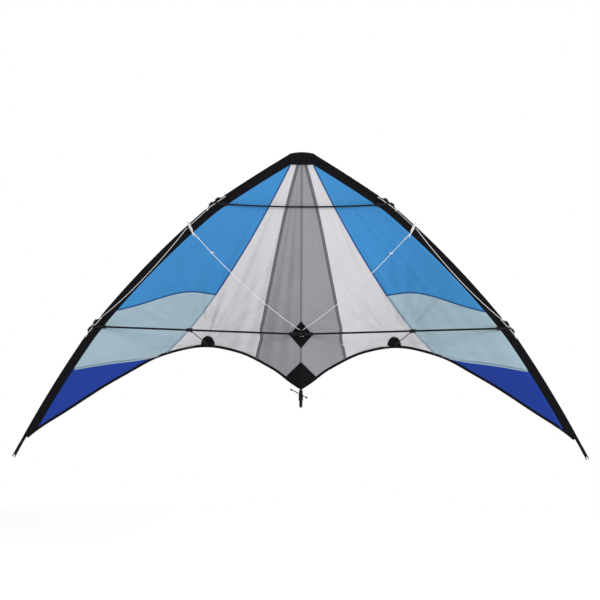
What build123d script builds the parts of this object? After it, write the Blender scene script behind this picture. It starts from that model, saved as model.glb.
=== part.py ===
"""Framed delta stunt kite, flown on two lines: sail, carbon frame, moulded fittings and bridle.

Millimetres. +X is the span, towards the flyer's right. +Z runs up the spine to the nose.
The face that the flyer sees looks along -Y, and the sail bellies back to +Y.
The origin is where the lower spreaders cross the spine, on the line the wings flex about.
"""

from build123d import *
import math
import os

import numpy as np

# ---- driving dimensions ------------------------------------------------------------------

# leading edge: where the spar starts, how steeply it falls there, and its gentle bends
NOSE_POINT = (29.0, 498.2)
NOSE_HEADING = 31.0
SPAR_BENDS = [(234, 3.2), (50, 7.0), (422, 9.4), (66, 5.1), (384, 6.7)]  # length, degrees
SPAR_JOINT_AT = 560.0
UPPER_SPAR_START = 0.5
LOWER_SPAR_END = 1142.0
SPAR_RADIUS = 3.0
SPAR_BORE = 2.0
FERRULE_HALF = 45.0

SLEEVE_WIDTH = 29.0
SLEEVE_BORE = 3.35
SLEEVE_RADIUS = 4.0
SLEEVE_END = 1098.0
CLOTH_PLATE = 1.2

# trailing edge: depth behind the frame plane, and its outline as (x, z)
STANDOFF_X = 269.0
SAIL_DEPTH = 162.0
SAIL_RIDGE_ROUNDING = 15.0  # at the trailing edge
SAIL_RIDGE_SOFTENING = 55.0  # added towards the leading edge
SAIL_TIP_X = 762.0
SAIL_TIP_FALL = 1.25
TRAILING_EDGE = [
    (0, -154), (33, -133.5), (66, -108.5), (101, -88.5), (135, -71), (169, -57.5), (204, -48.5),
    (238, -42.5), (272, -40.3), (306, -43), (340, -50), (373, -59), (407, -71), (472, -106),
    (537, -143.5), (603, -186), (667, -228), (733, -271.5), (765, -298),
]
HEM_WIDTH = 5.0
HEM_THICKNESS = 1.2
HEM_GAP = 0.3  # between the hem and the panels
SAIL_THICKNESS = 0.8
SAIL_CLEAR = 0.4  # between the sail's edge and the sleeve's seam
CENTRE_GAP = 2.0
SEAM_GAP = 0.0025  # share of a panel's width left free at each seam

# where the panels are sewn together, as (x, z) from the nose downwards
GREY_SEAM = [(8.5, 478.0), (41.0, 353.2), (83.4, 150.2), (113.0, 6.2)]
WHITE_SEAM = [(34.0, 464.8), (91.1, 353.3), (198.8, 170.7), (241.3, 107.2)]
WHITE_SEAM_LOW = (316.9, 9.4)
ARC_SEAM = [
    (241.3, 109.0), (270.0, 113.5), (303.6, 117.0), (346.1, 112.2), (390.5, 100.0), (457.2, 78.0),
]
TIP_SEAM = [(453.0, -73.0), (521.9, -81.3), (575.0, -89.0)]
SAIL_TOP = 478.0
# distances down the spar where seams and corners meet the sleeve
BLUE_TOP_AT = 23.0
ARC_SEAM_AT = 658.0
TIP_SEAM_AT = 862.0
DEEP_TIP_AT = 1027.0
# distances from the centre where seams and corners meet the hem
GREY_HEM_X = 124.4
WHITE_HEM_X = 379.0
LIGHT_HEM_X = 396.0
DEEP_TIP_X = 708.0
# the sleeve's end, trimmed along the trailing edge
SLEEVE_TRIM = [(708.0, -254.0), (733.0, -272.0), (764.0, -298.5), (764.0, -330.0), (708.0, -330.0)]

# spine and centre fitting
SPINE_Y = 6.0
SPINE_RADIUS = 3.0
SPINE_TOP = 499.0
SPINE_BOTTOM = -164.0
HUB_RADIUS = 6.2
HUB_HALF = 14.0
HUB_BOSS = (10.0, 11.0, 14.0)
HUB_HOLE_GAP = 1.0  # between the boss and the cloth round it
HUB_NOTCH_X = 9.0  # half the opening in the sail round the hub
HUB_NOTCH_Z = 16.0
RUNNING = 0.05
CUT_THROUGH = 30.0  # half the depth of a cut that goes right through the sail

# spreaders
SPREADER_Y = -6.0
LOWER_SPREADER_RADIUS = 2.75
LOWER_SPREADER_END = 562.5
UPPER_SPREADER_RADIUS = 2.3
UPPER_SPREADER_Z = 353.0
UPPER_SPREADER_BEND = 3332.0
UPPER_SPREADER_END = 231.0
ARM_START = 7.0
ARM_END = 33.0
ARM_RADIUS = 5.0
ARM_FLOOR = 2.0
ROD_WALL = 1.0

# connectors on the leading edge
UPPER_CONNECTOR_AT = 250.0
UPPER_CONNECTOR_HALF = 18.0
UPPER_CONNECTOR_RADIUS = 6.6
LOWER_CONNECTOR_AT = 731.0
LOWER_CONNECTOR_HALF = 20.0
LOWER_CONNECTOR_RADIUS = 7.4
LOBE_OUTWARD = 4.2
LOBE_RADIUS = 5.3
LOBE_HALF = 6.0
LOBE_FROM_END = 7.0
UPPER_SOCKET = (205.0, 239.0)  # from and to, as distances from the centre
UPPER_SOCKET_RADIUS = 4.4
UPPER_SOCKET_RUNNING = 0.08
UPPER_SOCKET_FLOOR_GAP = 0.6
LOWER_SOCKET = (541.0, 571.0)
LOWER_SOCKET_RADIUS = 4.8
LOWER_SOCKET_DEPTH = 22.0
STOP_RADIUS = 5.0
STOP_LENGTH = 3.6
STOP_GAP = 0.6
WINDOW_MARGIN = 14.0
WINDOW_MIDDLE = -1.0  # inward from the spar
WINDOW_WIDTH = 20.0

# stand-offs
CLIP_X = 309.0
CLIP_LENGTH = 16.0
CLIP_RADIUS = 5.2
CLIP_SOCKET_RADIUS = 3.2
CLIP_SOCKET_LENGTH = 15.0
CLIP_SOCKET_FLOOR = 5.0
ROD_START = 5.2
FOOT = (268.0, 134.0, -29.7)
STANDOFF_RADIUS = 1.25
FOOT_RADIUS = 2.2
FOOT_LENGTH = 12.0
CUP_RADIUS = 4.4
CUP_BORE = 2.6
CUP_BASE = 3.2
CUP_FLOOR_GAP = 0.5
CUP_SLOT_GAP = 1.5
CUP_LIP = 2.0

# patches, nose and tail
DIAMOND = [(0, 36), (32, -2), (0, -39)]
TAIL_PATCH_TOP = -77.0
TAIL_PATCH_SIDE = (43.0, -119.5)
STANDOFF_PATCH_X = 264.4
STANDOFF_PATCH_HALF = 20.0
STANDOFF_PATCH_TOP = -10.4
PATCH_THICKNESS = 0.8
PATCH_STANDS_OFF = 0.7
PATCH_MARGIN = 3.0  # how far a patch's surface is laid out past its edge
TAIL_PATCH_HEM_GAP = 0.5
STANDOFF_PATCH_HEM_GAP = 1.0
NOSE_HALF = 35.0
NOSE_TOP = 505.0
NOSE_BOTTOM = 468.0
NOSE_FRONT = -5.6
NOSE_BACK = 10.8
NOSE_CLOTH = 0.8
NOCK_TOP = -156.0
NOCK_COLLAR = -167.0
NOCK_SHOULDER = -184.0
NOCK_PIN_END = -198.0
NOCK_END = -204.0
NOCK_COLLAR_RADIUS = 5.2
NOCK_RADIUS = 6.2
NOCK_PIN_RADIUS = 4.5
NOCK_TIP_RADIUS = 2.5

# tip nocks
TIP_NOCK_START = 1118.0
TIP_NOCK_END = 1156.0
TIP_NOCK_RADIUS = 4.6
TIP_NOTCH_AT = 1143.6
TIP_NOTCH_HALF = (1.2, 2.2)  # at its floor and its mouth
TIP_TIE_SIDE = 5.4
TIP_TIE_TURN_AT = 1143.0

# lines
BRIDLE_DIAMETER = 1.5
TIE_DIAMETER = 2.6
TIP_TIE_DIAMETER = 1.5
UPPER_HITCH_AT = 279.0
LOWER_HITCH_AT = 701.0
HITCH_FRONT = -4.9
HITCH_PITCH = 1.7
TOW_POINT = (300.3, -280.0, 287.5)
KNOT_RADIUS = 3.2
KNOT_GAP = 0.8
HITCH_GAP = 3.0
INNER_LEG_START = (2.5, -3.5, 11.0)
INNER_LEG_SAG = 18.0
OUTER_LEG_SAG = 14.0
TAIL_TIE = [(-27.0, 6.0, -154.2), (16.0, 6.0, -176.2)]


# ---- curves ------------------------------------------------------------------------------

def leading_edge(distance):
    """The spar's centre line in the XZ plane: (x, z, heading below the horizontal in radians)."""
    x, z = NOSE_POINT
    heading = math.radians(NOSE_HEADING)
    left = distance
    for number, (length, turn) in enumerate(SPAR_BENDS):
        last = number == len(SPAR_BENDS) - 1
        bend = math.radians(turn) / length
        step = left if last else min(left, length)
        x += (math.sin(heading + bend * step) - math.sin(heading)) / bend
        z += (math.cos(heading + bend * step) - math.cos(heading)) / bend
        heading += bend * step
        left -= step
        if left <= 0:
            break
    return x, z, heading


def beside_spar(distance, inward, y=0.0):
    """A point beside the spar's centre line, inward towards the sail."""
    x, z, heading = leading_edge(distance)
    return x - inward * math.sin(heading), y, z - inward * math.cos(heading)


def spar_path(start, end):
    """The spar's centre line between two distances, as tangent arcs."""
    joins = np.cumsum([0] + [length for length, _ in SPAR_BENDS])[1:-1]
    stops = [start] + [float(j) for j in joins if start + 1 < j < end - 1] + [end]
    arcs = []
    for low, high in zip(stops, stops[1:]):
        points = [Vector(*beside_spar(d, 0)) for d in (low, (low + high) / 2, high)]
        arcs.append(ThreePointArc(*points))
    return Wire(arcs)


def spar_plane(distance):
    """A plane across the spar: x runs inward to the sail, z runs down the spar."""
    x, z, heading = leading_edge(distance)
    down = (math.cos(heading), 0, -math.sin(heading))
    inward = (-math.sin(heading), 0, -math.cos(heading))
    return Plane(origin=(x, 0, z), x_dir=inward, z_dir=down)


def along_spar(profile, start, end):
    """A profile drawn in spar_plane, swept down the spar."""
    return sweep(spar_plane(start) * profile, path=spar_path(start, end))


def smooth(points, count=80):
    """Points along the natural cubic curve through the given ones."""
    given = np.array(points, float)
    gaps = np.linalg.norm(np.diff(given, axis=0), axis=1)
    stations = np.concatenate([[0], np.cumsum(gaps)])
    size = len(given)
    matrix = np.eye(size)
    right = np.zeros_like(given)
    for i in range(1, size - 1):
        matrix[i, i - 1:i + 2] = gaps[i - 1], 2 * (gaps[i - 1] + gaps[i]), gaps[i]
        right[i] = 6 * ((given[i + 1] - given[i]) / gaps[i] - (given[i] - given[i - 1]) / gaps[i - 1])
    bends = np.linalg.solve(matrix, right)
    at = np.linspace(0, stations[-1], count)
    span = np.clip(np.searchsorted(stations, at) - 1, 0, size - 2)
    width = gaps[span][:, None]
    after = (at - stations[span])[:, None]
    before = width - after
    return (
        bends[span] * before**3 / (6 * width)
        + bends[span + 1] * after**3 / (6 * width)
        + (given[span] / width - bends[span] * width / 6) * before
        + (given[span + 1] / width - bends[span + 1] * width / 6) * after
    )


SAIL_EDGE_INWARD = SLEEVE_WIDTH - SLEEVE_RADIUS + SAIL_CLEAR
SLEEVE_EDGE = np.array([beside_spar(d, SAIL_EDGE_INWARD) for d in np.linspace(0, 1110, 300)])
TRAILING = smooth(TRAILING_EDGE, 300)


def sleeve_edge_z(x):
    """Height of the sleeve's inner edge, where the sail starts."""
    return np.interp(x, SLEEVE_EDGE[:, 0], SLEEVE_EDGE[:, 2])


def trailing_z(x):
    """Height of the trailing edge."""
    return np.interp(x, TRAILING[:, 0], TRAILING[:, 1])


def hem_top_z(x):
    """Height of the hem's upper edge."""
    slope = (trailing_z(x + 2.0) - trailing_z(x - 2.0)) / 4.0
    return trailing_z(x) + HEM_WIDTH * np.sqrt(1 + slope**2)


def falling_depth(x):
    """The sail's depth outside the stand-off, as it closes to the tip."""
    out = np.clip((SAIL_TIP_X - x) / (SAIL_TIP_X - STANDOFF_X), 0, None)
    return SAIL_DEPTH * out**SAIL_TIP_FALL


def sail_y(x, z):
    """The sail's middle surface: flat at the leading edge, deepest where the stand-off pushes it."""
    top = sleeve_edge_z(x)
    share = np.clip((top - z) / np.maximum(top - trailing_z(x), 1.0), 0, 1.08)
    rounding = SAIL_RIDGE_ROUNDING + SAIL_RIDGE_SOFTENING * np.clip(1 - share, 0, 1)
    rising = SAIL_DEPTH * x / STANDOFF_X
    ridge = np.exp(-rising / rounding) + np.exp(-falling_depth(x) / rounding)
    return -rounding * np.log(ridge - np.exp(-falling_depth(0.0) / rounding)) * share


# ---- sail solids -------------------------------------------------------------------------

def cloth(grid, stands_off, thickness):
    """A thin solid over a grid of (x, z) points, its front that far in front of the sail."""
    rows = [[Vector(x, float(sail_y(x, z)) - stands_off, z) for x, z in row] for row in grid]
    face = Face.make_surface_from_array_of_points(rows)
    return extrude(face, amount=thickness, dir=(0, 1, 0))


def between(left, right, top, bottom, count=11):
    """A grid between four edges. Left and right run downwards, top and bottom run outwards."""
    shares = np.linspace(SEAM_GAP, 1 - SEAM_GAP, count)
    edges = [np.array(e, float) for e in (left, right, top, bottom)]

    def at(edge, share):
        steps = np.linspace(0, 1, len(edge))
        return np.array([np.interp(share, steps, edge[:, k]) for k in (0, 1)])

    left, right, top, bottom = edges
    grid = []
    for v in shares:
        row = []
        for u in shares:
            straight = (1 - u) * at(left, v) + u * at(right, v) + (1 - v) * at(top, u) + v * at(bottom, u)
            corners = (
                (1 - u) * (1 - v) * top[0] + u * (1 - v) * top[-1]
                + (1 - u) * v * bottom[0] + u * v * bottom[-1]
            )
            row.append(tuple(straight - corners))
        grid.append(row)
    return grid


def line(start, end):
    """Two points, as an edge."""
    return smooth([start, end])


def sleeve_edge(start, end):
    """The sleeve's inner edge between two distances down the spar."""
    points = [beside_spar(d, SAIL_EDGE_INWARD) for d in np.linspace(start, end, 60)]
    return [(x, z) for x, _, z in points]


def hem_edge(start, end):
    """The hem's upper edge between two distances from the centre."""
    return [(x, float(hem_top_z(x))) for x in np.linspace(start, end, 60)]


def on_hem(x):
    """The point on the hem's upper edge at a distance from the centre."""
    return x, float(hem_top_z(x))


def on_sleeve(distance):
    """The point on the sleeve's inner edge at a distance down the spar."""
    x, _, z = beside_spar(distance, SAIL_EDGE_INWARD)
    return x, z


def panel(left, right, top, bottom, count=11):
    """One sail panel."""
    return cloth(between(left, right, top, bottom, count), SAIL_THICKNESS / 2, SAIL_THICKNESS)


def sail_panels():
    """The five panels of the right half of the sail."""
    top, low = (CENTRE_GAP, SAIL_TOP), on_hem(CENTRE_GAP)
    white_low, light_low = on_hem(WHITE_HEM_X), on_hem(LIGHT_HEM_X)
    grey_seam = smooth(GREY_SEAM + [on_hem(GREY_HEM_X)])
    white_seam = smooth(WHITE_SEAM + [WHITE_SEAM_LOW, white_low])
    white_seam_high = smooth(WHITE_SEAM)
    white_seam_low = smooth([WHITE_SEAM[-1], WHITE_SEAM_LOW, white_low])
    arc_seam = smooth(ARC_SEAM + [on_sleeve(ARC_SEAM_AT)])
    tip_seam = smooth([light_low] + TIP_SEAM + [on_sleeve(TIP_SEAM_AT)])
    light_edge = smooth([white_low] + [tuple(p) for p in tip_seam[2::6]] + [tuple(tip_seam[-1])])
    notch = Box(2 * HUB_NOTCH_X, 2 * CUT_THROUGH, 2 * HUB_NOTCH_Z)
    grey = panel(line(top, low), grey_seam, line(top, GREY_SEAM[0]), hem_edge(CENTRE_GAP, GREY_HEM_X))
    white = panel(grey_seam, white_seam, line(GREY_SEAM[0], WHITE_SEAM[0]),
                  hem_edge(GREY_HEM_X, WHITE_HEM_X), 17)
    blue = panel(white_seam_high, sleeve_edge(BLUE_TOP_AT, ARC_SEAM_AT),
                 line(WHITE_SEAM[0], on_sleeve(BLUE_TOP_AT)), arc_seam, 15)
    light = panel(white_seam_low, sleeve_edge(ARC_SEAM_AT, TIP_SEAM_AT), arc_seam, light_edge, 15)
    deep = panel(hem_edge(LIGHT_HEM_X, DEEP_TIP_X), sleeve_edge(TIP_SEAM_AT, DEEP_TIP_AT), tip_seam,
                 line(on_hem(DEEP_TIP_X), on_sleeve(DEEP_TIP_AT)))
    return {
        "grey_panel": grey - notch,
        "white_panel": white,
        "blue_panel": blue,
        "light_blue_panel": light,
        "deep_blue_panel": deep,
    }


def trailing_hem():
    """The binding along the trailing edge."""
    grid = []
    for x in np.linspace(CENTRE_GAP + 1, DEEP_TIP_X, 45):
        low = float(trailing_z(x))
        high = float(hem_top_z(x)) - HEM_GAP
        grid.append([(x, low), (x, (low + high) / 2), (x, high)])
    return cloth(grid, HEM_THICKNESS / 2, HEM_THICKNESS)


def patch(outline, x_range, z_range):
    """A reinforcing patch on the front of the sail, cut to an outline in the XZ plane."""
    grid = [[(x, z) for z in np.linspace(*z_range, 7)] for x in np.linspace(*x_range, 9)]
    layer = cloth(grid, PATCH_STANDS_OFF + PATCH_THICKNESS, PATCH_THICKNESS)
    prism = extrude(Plane.XZ * outline, amount=2 * SAIL_DEPTH, both=True)
    return layer & prism


def polygon(points):
    """A flat face from (x, z) points."""
    return make_face(Polyline(*points, close=True))


def both_halves(half):
    """A piece that runs across the centre line, from its right half."""
    return half + mirror(half, about=Plane.YZ)


# ---- leading edge ------------------------------------------------------------------------

def tube(radius, bore, start, end):
    """A tube that follows the spar's centre line."""
    return along_spar(Circle(radius), start, end) - along_spar(Circle(bore), start, end)


def window(centre, half):
    """The part of the sleeve cut away round a connector."""
    opening = Pos(WINDOW_MIDDLE, 0) * Rectangle(WINDOW_WIDTH, CUT_THROUGH)
    return along_spar(opening, centre - half - WINDOW_MARGIN, centre + half + WINDOW_MARGIN)


def leading_edge_sleeve():
    """The pocket round the spar, with the flat seam that the sail is sewn to."""
    flat_start = (SLEEVE_BORE + SLEEVE_RADIUS) / 2
    flat_end = SLEEVE_WIDTH - SLEEVE_RADIUS
    flat = Pos((flat_start + flat_end) / 2, 0) * Rectangle(flat_end - flat_start, CLOTH_PLATE)
    sleeve = along_spar(Circle(SLEEVE_RADIUS), 0.0, SLEEVE_END) + along_spar(flat, 0.0, SLEEVE_END)
    sleeve -= along_spar(Circle(SLEEVE_BORE), 0.0, SLEEVE_END)
    sleeve -= extrude(Plane.XZ * polygon(SLEEVE_TRIM), amount=CUT_THROUGH, both=True)
    sleeve -= window(UPPER_CONNECTOR_AT, UPPER_CONNECTOR_HALF)
    sleeve -= window(LOWER_CONNECTOR_AT, LOWER_CONNECTOR_HALF)
    return sleeve


def socket(inner, outer, radius, bore, depth):
    """A blind tube from its open inner end to its closed outer end."""
    axis = Vector(*outer) - Vector(*inner)
    plane = Plane(origin=inner, z_dir=axis)
    shell = extrude(plane * Circle(radius), amount=axis.length)
    return shell - extrude(plane * Circle(bore), amount=depth)


def connector(at, half, radius, inner, outer, socket_radius):
    """A fitting round the spar, with two lobes outside it and a socket for a spreader's end."""
    body = along_spar(Circle(radius), at - half, at + half)
    for lobe_at in (at - half + LOBE_FROM_END, at + half - LOBE_FROM_END):
        profile = Pos(-LOBE_OUTWARD, 0) * Circle(LOBE_RADIUS)
        body += along_spar(profile, lobe_at - LOBE_HALF, lobe_at + LOBE_HALF)
    body += rod(inner, outer, socket_radius)
    return body - along_spar(Circle(SPAR_RADIUS + RUNNING), at - half - 1, at + half + 1)


def upper_spreader_z(x):
    """Height of the upper spreader, which bows down in the middle."""
    return UPPER_SPREADER_Z + x**2 / (2 * UPPER_SPREADER_BEND)


def lower_spreader_point(x):
    """A point on the right lower spreader's axis."""
    tip_x, tip_z, _ = leading_edge(LOWER_CONNECTOR_AT)
    return x, SPREADER_Y, x * tip_z / tip_x


def upper_connector():
    """The fitting that holds the upper spreader's end."""
    start, end = UPPER_SOCKET
    inner = (start, SPREADER_Y, upper_spreader_z(start))
    reach = (end - start) / (UPPER_SPREADER_END - start)
    rise = upper_spreader_z(UPPER_SPREADER_END) - inner[2]
    outer = (end, SPREADER_Y, inner[2] + rise * reach)
    body = connector(UPPER_CONNECTOR_AT, UPPER_CONNECTOR_HALF, UPPER_CONNECTOR_RADIUS,
                     inner, outer, UPPER_SOCKET_RADIUS)
    depth = UPPER_SPREADER_END - start + UPPER_SOCKET_FLOOR_GAP
    return body - rod(inner, towards(inner, outer, depth), UPPER_SPREADER_RADIUS + UPPER_SOCKET_RUNNING)


def lower_connector():
    """The fitting that holds the lower spreader's outer end."""
    inner, outer = (lower_spreader_point(x) for x in LOWER_SOCKET)
    body = connector(LOWER_CONNECTOR_AT, LOWER_CONNECTOR_HALF, LOWER_CONNECTOR_RADIUS,
                     inner, outer, LOWER_SOCKET_RADIUS)
    return body - rod(inner, towards(inner, outer, LOWER_SOCKET_DEPTH), LOWER_SPREADER_RADIUS + RUNNING)


def connector_stops():
    """Rings that stop the connectors sliding along the spar."""
    stops = []
    for at, half in ((UPPER_CONNECTOR_AT, UPPER_CONNECTOR_HALF), (LOWER_CONNECTOR_AT, LOWER_CONNECTOR_HALF)):
        for start in (at - half - STOP_GAP - STOP_LENGTH, at + half + STOP_GAP):
            stops.append(tube(STOP_RADIUS, SPAR_RADIUS + RUNNING, start, start + STOP_LENGTH))
    return Compound(children=[Part(s.wrapped) for s in stops])


def tip_nock():
    """The notched cap on the spar's outer end."""
    plane = spar_plane(TIP_NOCK_START)
    length = TIP_NOCK_END - TIP_NOCK_START
    body = extrude(plane * Circle(TIP_NOCK_RADIUS), amount=length)
    body -= along_spar(Circle(SPAR_RADIUS + RUNNING), TIP_NOCK_START - 1, LOWER_SPAR_END + 0.5)
    depth = TIP_NOCK_END - TIP_NOTCH_AT
    floor, mouth = TIP_NOTCH_HALF
    notch = polygon([(-floor, 0), (floor, 0), (mouth, depth + 1), (-mouth, depth + 1)])
    front = Plane(origin=spar_plane(TIP_NOTCH_AT).origin, x_dir=plane.x_dir, z_dir=(0, -1, 0))
    return body - extrude(front * notch, amount=CUT_THROUGH, both=True)


def tip_tie():
    """The line from the sleeve's end, over the tip notch and back."""
    side = TIP_TIE_SIDE
    turn_at = TIP_TIE_TURN_AT
    front = Line(beside_spar(SLEEVE_END + 2, 0, -side), beside_spar(turn_at, 0, -side))
    turn = ThreePointArc(beside_spar(turn_at, 0, -side), beside_spar(turn_at + side, 0, 0),
                         beside_spar(turn_at, 0, side))
    back = Line(beside_spar(turn_at, 0, side), beside_spar(SLEEVE_END + 2, 0, side))
    path = Wire([front, turn, back])
    return sweep(Plane(origin=path @ 0, z_dir=path % 0) * Circle(TIP_TIE_DIAMETER / 2), path=path)


# ---- rods and lines ----------------------------------------------------------------------

def rod(start, end, radius, bore=0.0):
    """A straight rod or tube between two points."""
    axis = Vector(*end) - Vector(*start)
    plane = Plane(origin=start, z_dir=axis)
    piece = extrude(plane * Circle(radius), amount=axis.length)
    if bore:
        piece -= extrude(plane * Circle(bore), amount=axis.length)
    return piece


def towards(start, end, distance):
    """The point that far from start on the way to end."""
    way = (Vector(*end) - Vector(*start)).normalized()
    return tuple(Vector(*start) + way * distance)


def upper_spreader():
    """The bowed rod between the upper connectors."""
    ends = [(x, SPREADER_Y, upper_spreader_z(x)) for x in (-UPPER_SPREADER_END, 0.0, UPPER_SPREADER_END)]
    path = Wire([ThreePointArc(*ends)])
    return sweep(Plane(origin=path @ 0, z_dir=path % 0) * Circle(UPPER_SPREADER_RADIUS), path=path)


def upper_hitch_point():
    """Where the upper bridle leg is tied to the leading edge."""
    return beside_spar(UPPER_HITCH_AT, 0, HITCH_FRONT)


def lower_hitch_point():
    """Where the outer bridle leg is tied to the leading edge."""
    return beside_spar(LOWER_HITCH_AT, 0, HITCH_FRONT)


def bridle_hitches():
    """The turns of line round the bare spar beside each connector."""
    turns = []
    ring = SPAR_RADIUS + BRIDLE_DIAMETER / 2 + 0.1
    for at in (UPPER_HITCH_AT, LOWER_HITCH_AT):
        for shift in (-HITCH_PITCH / 2, HITCH_PITCH / 2):
            turns.append(spar_plane(at + shift) * Torus(ring, BRIDLE_DIAMETER / 2))
    return Compound(children=turns)


def bridle_leg(start, end, start_gap, end_gap, sag=0.0):
    """A stretch of line, clear of what it is tied to. Its middle hangs that far below a straight line."""
    low, high = towards(start, end, start_gap), towards(end, start, end_gap)
    if not sag:
        return rod(low, high, BRIDLE_DIAMETER / 2)
    middle = (Vector(*low) + Vector(*high)) / 2 - Vector(0, 0, sag)
    path = Wire([ThreePointArc(low, middle, high)])
    return sweep(Plane(origin=path @ 0, z_dir=path % 0) * Circle(BRIDLE_DIAMETER / 2), path=path)


# ---- stand-off ---------------------------------------------------------------------------

def standoff_plane(origin):
    """A plane across the stand-off rod: z runs to the foot, y points down."""
    axis = Vector(*FOOT) - Vector(*lower_spreader_point(CLIP_X))
    return Plane(origin=origin, x_dir=Vector(1, 0, 0) - axis * (axis.X / axis.length**2), z_dir=axis)


def standoff_clip():
    """The ring that turns on the lower spreader, and the rod's socket."""
    half = CLIP_LENGTH / 2
    ring_start, ring_end = lower_spreader_point(CLIP_X - half), lower_spreader_point(CLIP_X + half)
    centre = lower_spreader_point(CLIP_X)
    body = rod(ring_start, ring_end, CLIP_RADIUS)
    body += rod(centre, towards(centre, FOOT, CLIP_SOCKET_LENGTH), CLIP_SOCKET_RADIUS)
    body -= rod(lower_spreader_point(CLIP_X - CLIP_LENGTH), lower_spreader_point(CLIP_X + CLIP_LENGTH),
                LOWER_SPREADER_RADIUS + RUNNING)
    return body - rod(towards(centre, FOOT, CLIP_SOCKET_FLOOR), FOOT, STANDOFF_RADIUS + RUNNING)


def standoff_rod():
    """The thin rod that pushes the trailing edge back, with its rounded foot."""
    centre = lower_spreader_point(CLIP_X)
    foot_start = towards(FOOT, centre, FOOT_LENGTH)
    start = towards(centre, FOOT, ROD_START)
    return rod(start, foot_start, STANDOFF_RADIUS) + rod(foot_start, FOOT, FOOT_RADIUS)


def standoff_cup():
    """The moulded cup on the trailing edge, open underneath so the foot can leave it."""
    plane = standoff_plane(FOOT)
    mouth = CUP_LIP - FOOT_LENGTH
    body = extrude(plane.offset(mouth) * Circle(CUP_RADIUS), amount=CUP_BASE - mouth)
    body -= extrude(plane.offset(mouth) * Circle(CUP_BORE), amount=CUP_FLOOR_GAP - mouth)
    slot = Pos(0, CUP_RADIUS) * Rectangle(2 * CUP_BORE, 2 * CUP_RADIUS)
    return body - extrude(plane.offset(mouth - 1) * slot, amount=CUP_SLOT_GAP - mouth)


# ---- centre, nose and tail ---------------------------------------------------------------

def spine_piece(radius, bottom, top):
    """An upright cylinder on the spine's axis."""
    return Pos(0, SPINE_Y, (bottom + top) / 2) * Cylinder(radius, top - bottom)


def centre_hub():
    """The moulded centre fitting on the spine, with its boss through the sail."""
    wide, deep, tall = HUB_BOSS
    boss = Pos(0, -deep / 2 + 1, 0) * Box(wide, deep + 2, tall)
    return spine_piece(HUB_RADIUS, -HUB_HALF, HUB_HALF) + boss - spine_piece(
        SPINE_RADIUS + RUNNING, -HUB_HALF - 1, HUB_HALF + 1)


def spreader_arm():
    """The centre fitting's arm, a socket for the lower spreader's inner end."""
    start, end = lower_spreader_point(ARM_END), lower_spreader_point(ARM_START)
    return socket(start, end, ARM_RADIUS, LOWER_SPREADER_RADIUS + RUNNING, ARM_END - ARM_START - ARM_FLOOR)


def nose_webbing():
    """The webbing folded over the nose: front, top and back."""
    height = NOSE_TOP - NOSE_BOTTOM
    depth = NOSE_BACK - NOSE_FRONT
    middle = (NOSE_BACK + NOSE_FRONT) / 2
    outer = Pos(0, middle, NOSE_BOTTOM + height / 2) * Box(2 * NOSE_HALF, depth, height)
    inner = Pos(0, middle, NOSE_BOTTOM + height / 2 - NOSE_CLOTH) * Box(
        3 * NOSE_HALF, depth - 2 * NOSE_CLOTH, height)
    return outer - inner


def tail_nock():
    """The cap on the spine's lower end: a shank for a tail, and a hole for the tie."""
    body = spine_piece(NOCK_COLLAR_RADIUS, NOCK_COLLAR, NOCK_TOP)
    body += spine_piece(NOCK_RADIUS, NOCK_SHOULDER, NOCK_COLLAR)
    body += spine_piece(NOCK_PIN_RADIUS, NOCK_PIN_END, NOCK_SHOULDER)
    taper = NOCK_PIN_END - NOCK_END
    body += Pos(0, SPINE_Y, NOCK_PIN_END - taper / 2) * Cone(NOCK_TIP_RADIUS, NOCK_PIN_RADIUS, taper)
    body -= spine_piece(SPINE_RADIUS + RUNNING, SPINE_BOTTOM - RUNNING, NOCK_TOP + 1)
    return body - rod(*TAIL_TIE, TIE_DIAMETER / 2 + 2 * RUNNING)


def centre_patch():
    """The diamond patch round the centre fitting."""
    top, side, bottom = DIAMOND
    heights = (bottom[1] - PATCH_MARGIN, top[1] + PATCH_MARGIN)
    half = patch(polygon(DIAMOND), (0, side[0] + PATCH_MARGIN), heights)
    hole = Box(HUB_BOSS[0] + 2 * HUB_HOLE_GAP, 2 * CUT_THROUGH, 2 * (HUB_HALF + HUB_HOLE_GAP))
    return both_halves(half) - hole


def tail_patch():
    """The patch at the tail, cut to the trailing edge."""
    wide = TAIL_PATCH_SIDE[0]
    edge = [(x, float(hem_top_z(x)) + TAIL_PATCH_HEM_GAP) for x in np.linspace(wide, 0, 9)]
    outline = polygon([(0, TAIL_PATCH_TOP), TAIL_PATCH_SIDE] + edge[1:])
    heights = (TRAILING_EDGE[0][1] - PATCH_MARGIN, TAIL_PATCH_TOP + PATCH_MARGIN)
    return both_halves(patch(outline, (0, wide + PATCH_MARGIN), heights))


def standoff_patch():
    """The rounded patch under the stand-off cup."""
    low = float(hem_top_z(STANDOFF_PATCH_X)) + STANDOFF_PATCH_HEM_GAP
    dome = Pos(STANDOFF_PATCH_X, low) * Ellipse(STANDOFF_PATCH_HALF, STANDOFF_PATCH_TOP - low)
    side = STANDOFF_PATCH_HALF + PATCH_MARGIN
    keep = Pos(STANDOFF_PATCH_X, low + side) * Rectangle(2 * side, 2 * side)
    heights = (low - PATCH_MARGIN, STANDOFF_PATCH_TOP + PATCH_MARGIN)
    return patch(dome & keep, (STANDOFF_PATCH_X - side, STANDOFF_PATCH_X + side), heights)


# ---- assembly ----------------------------------------------------------------------------

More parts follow.
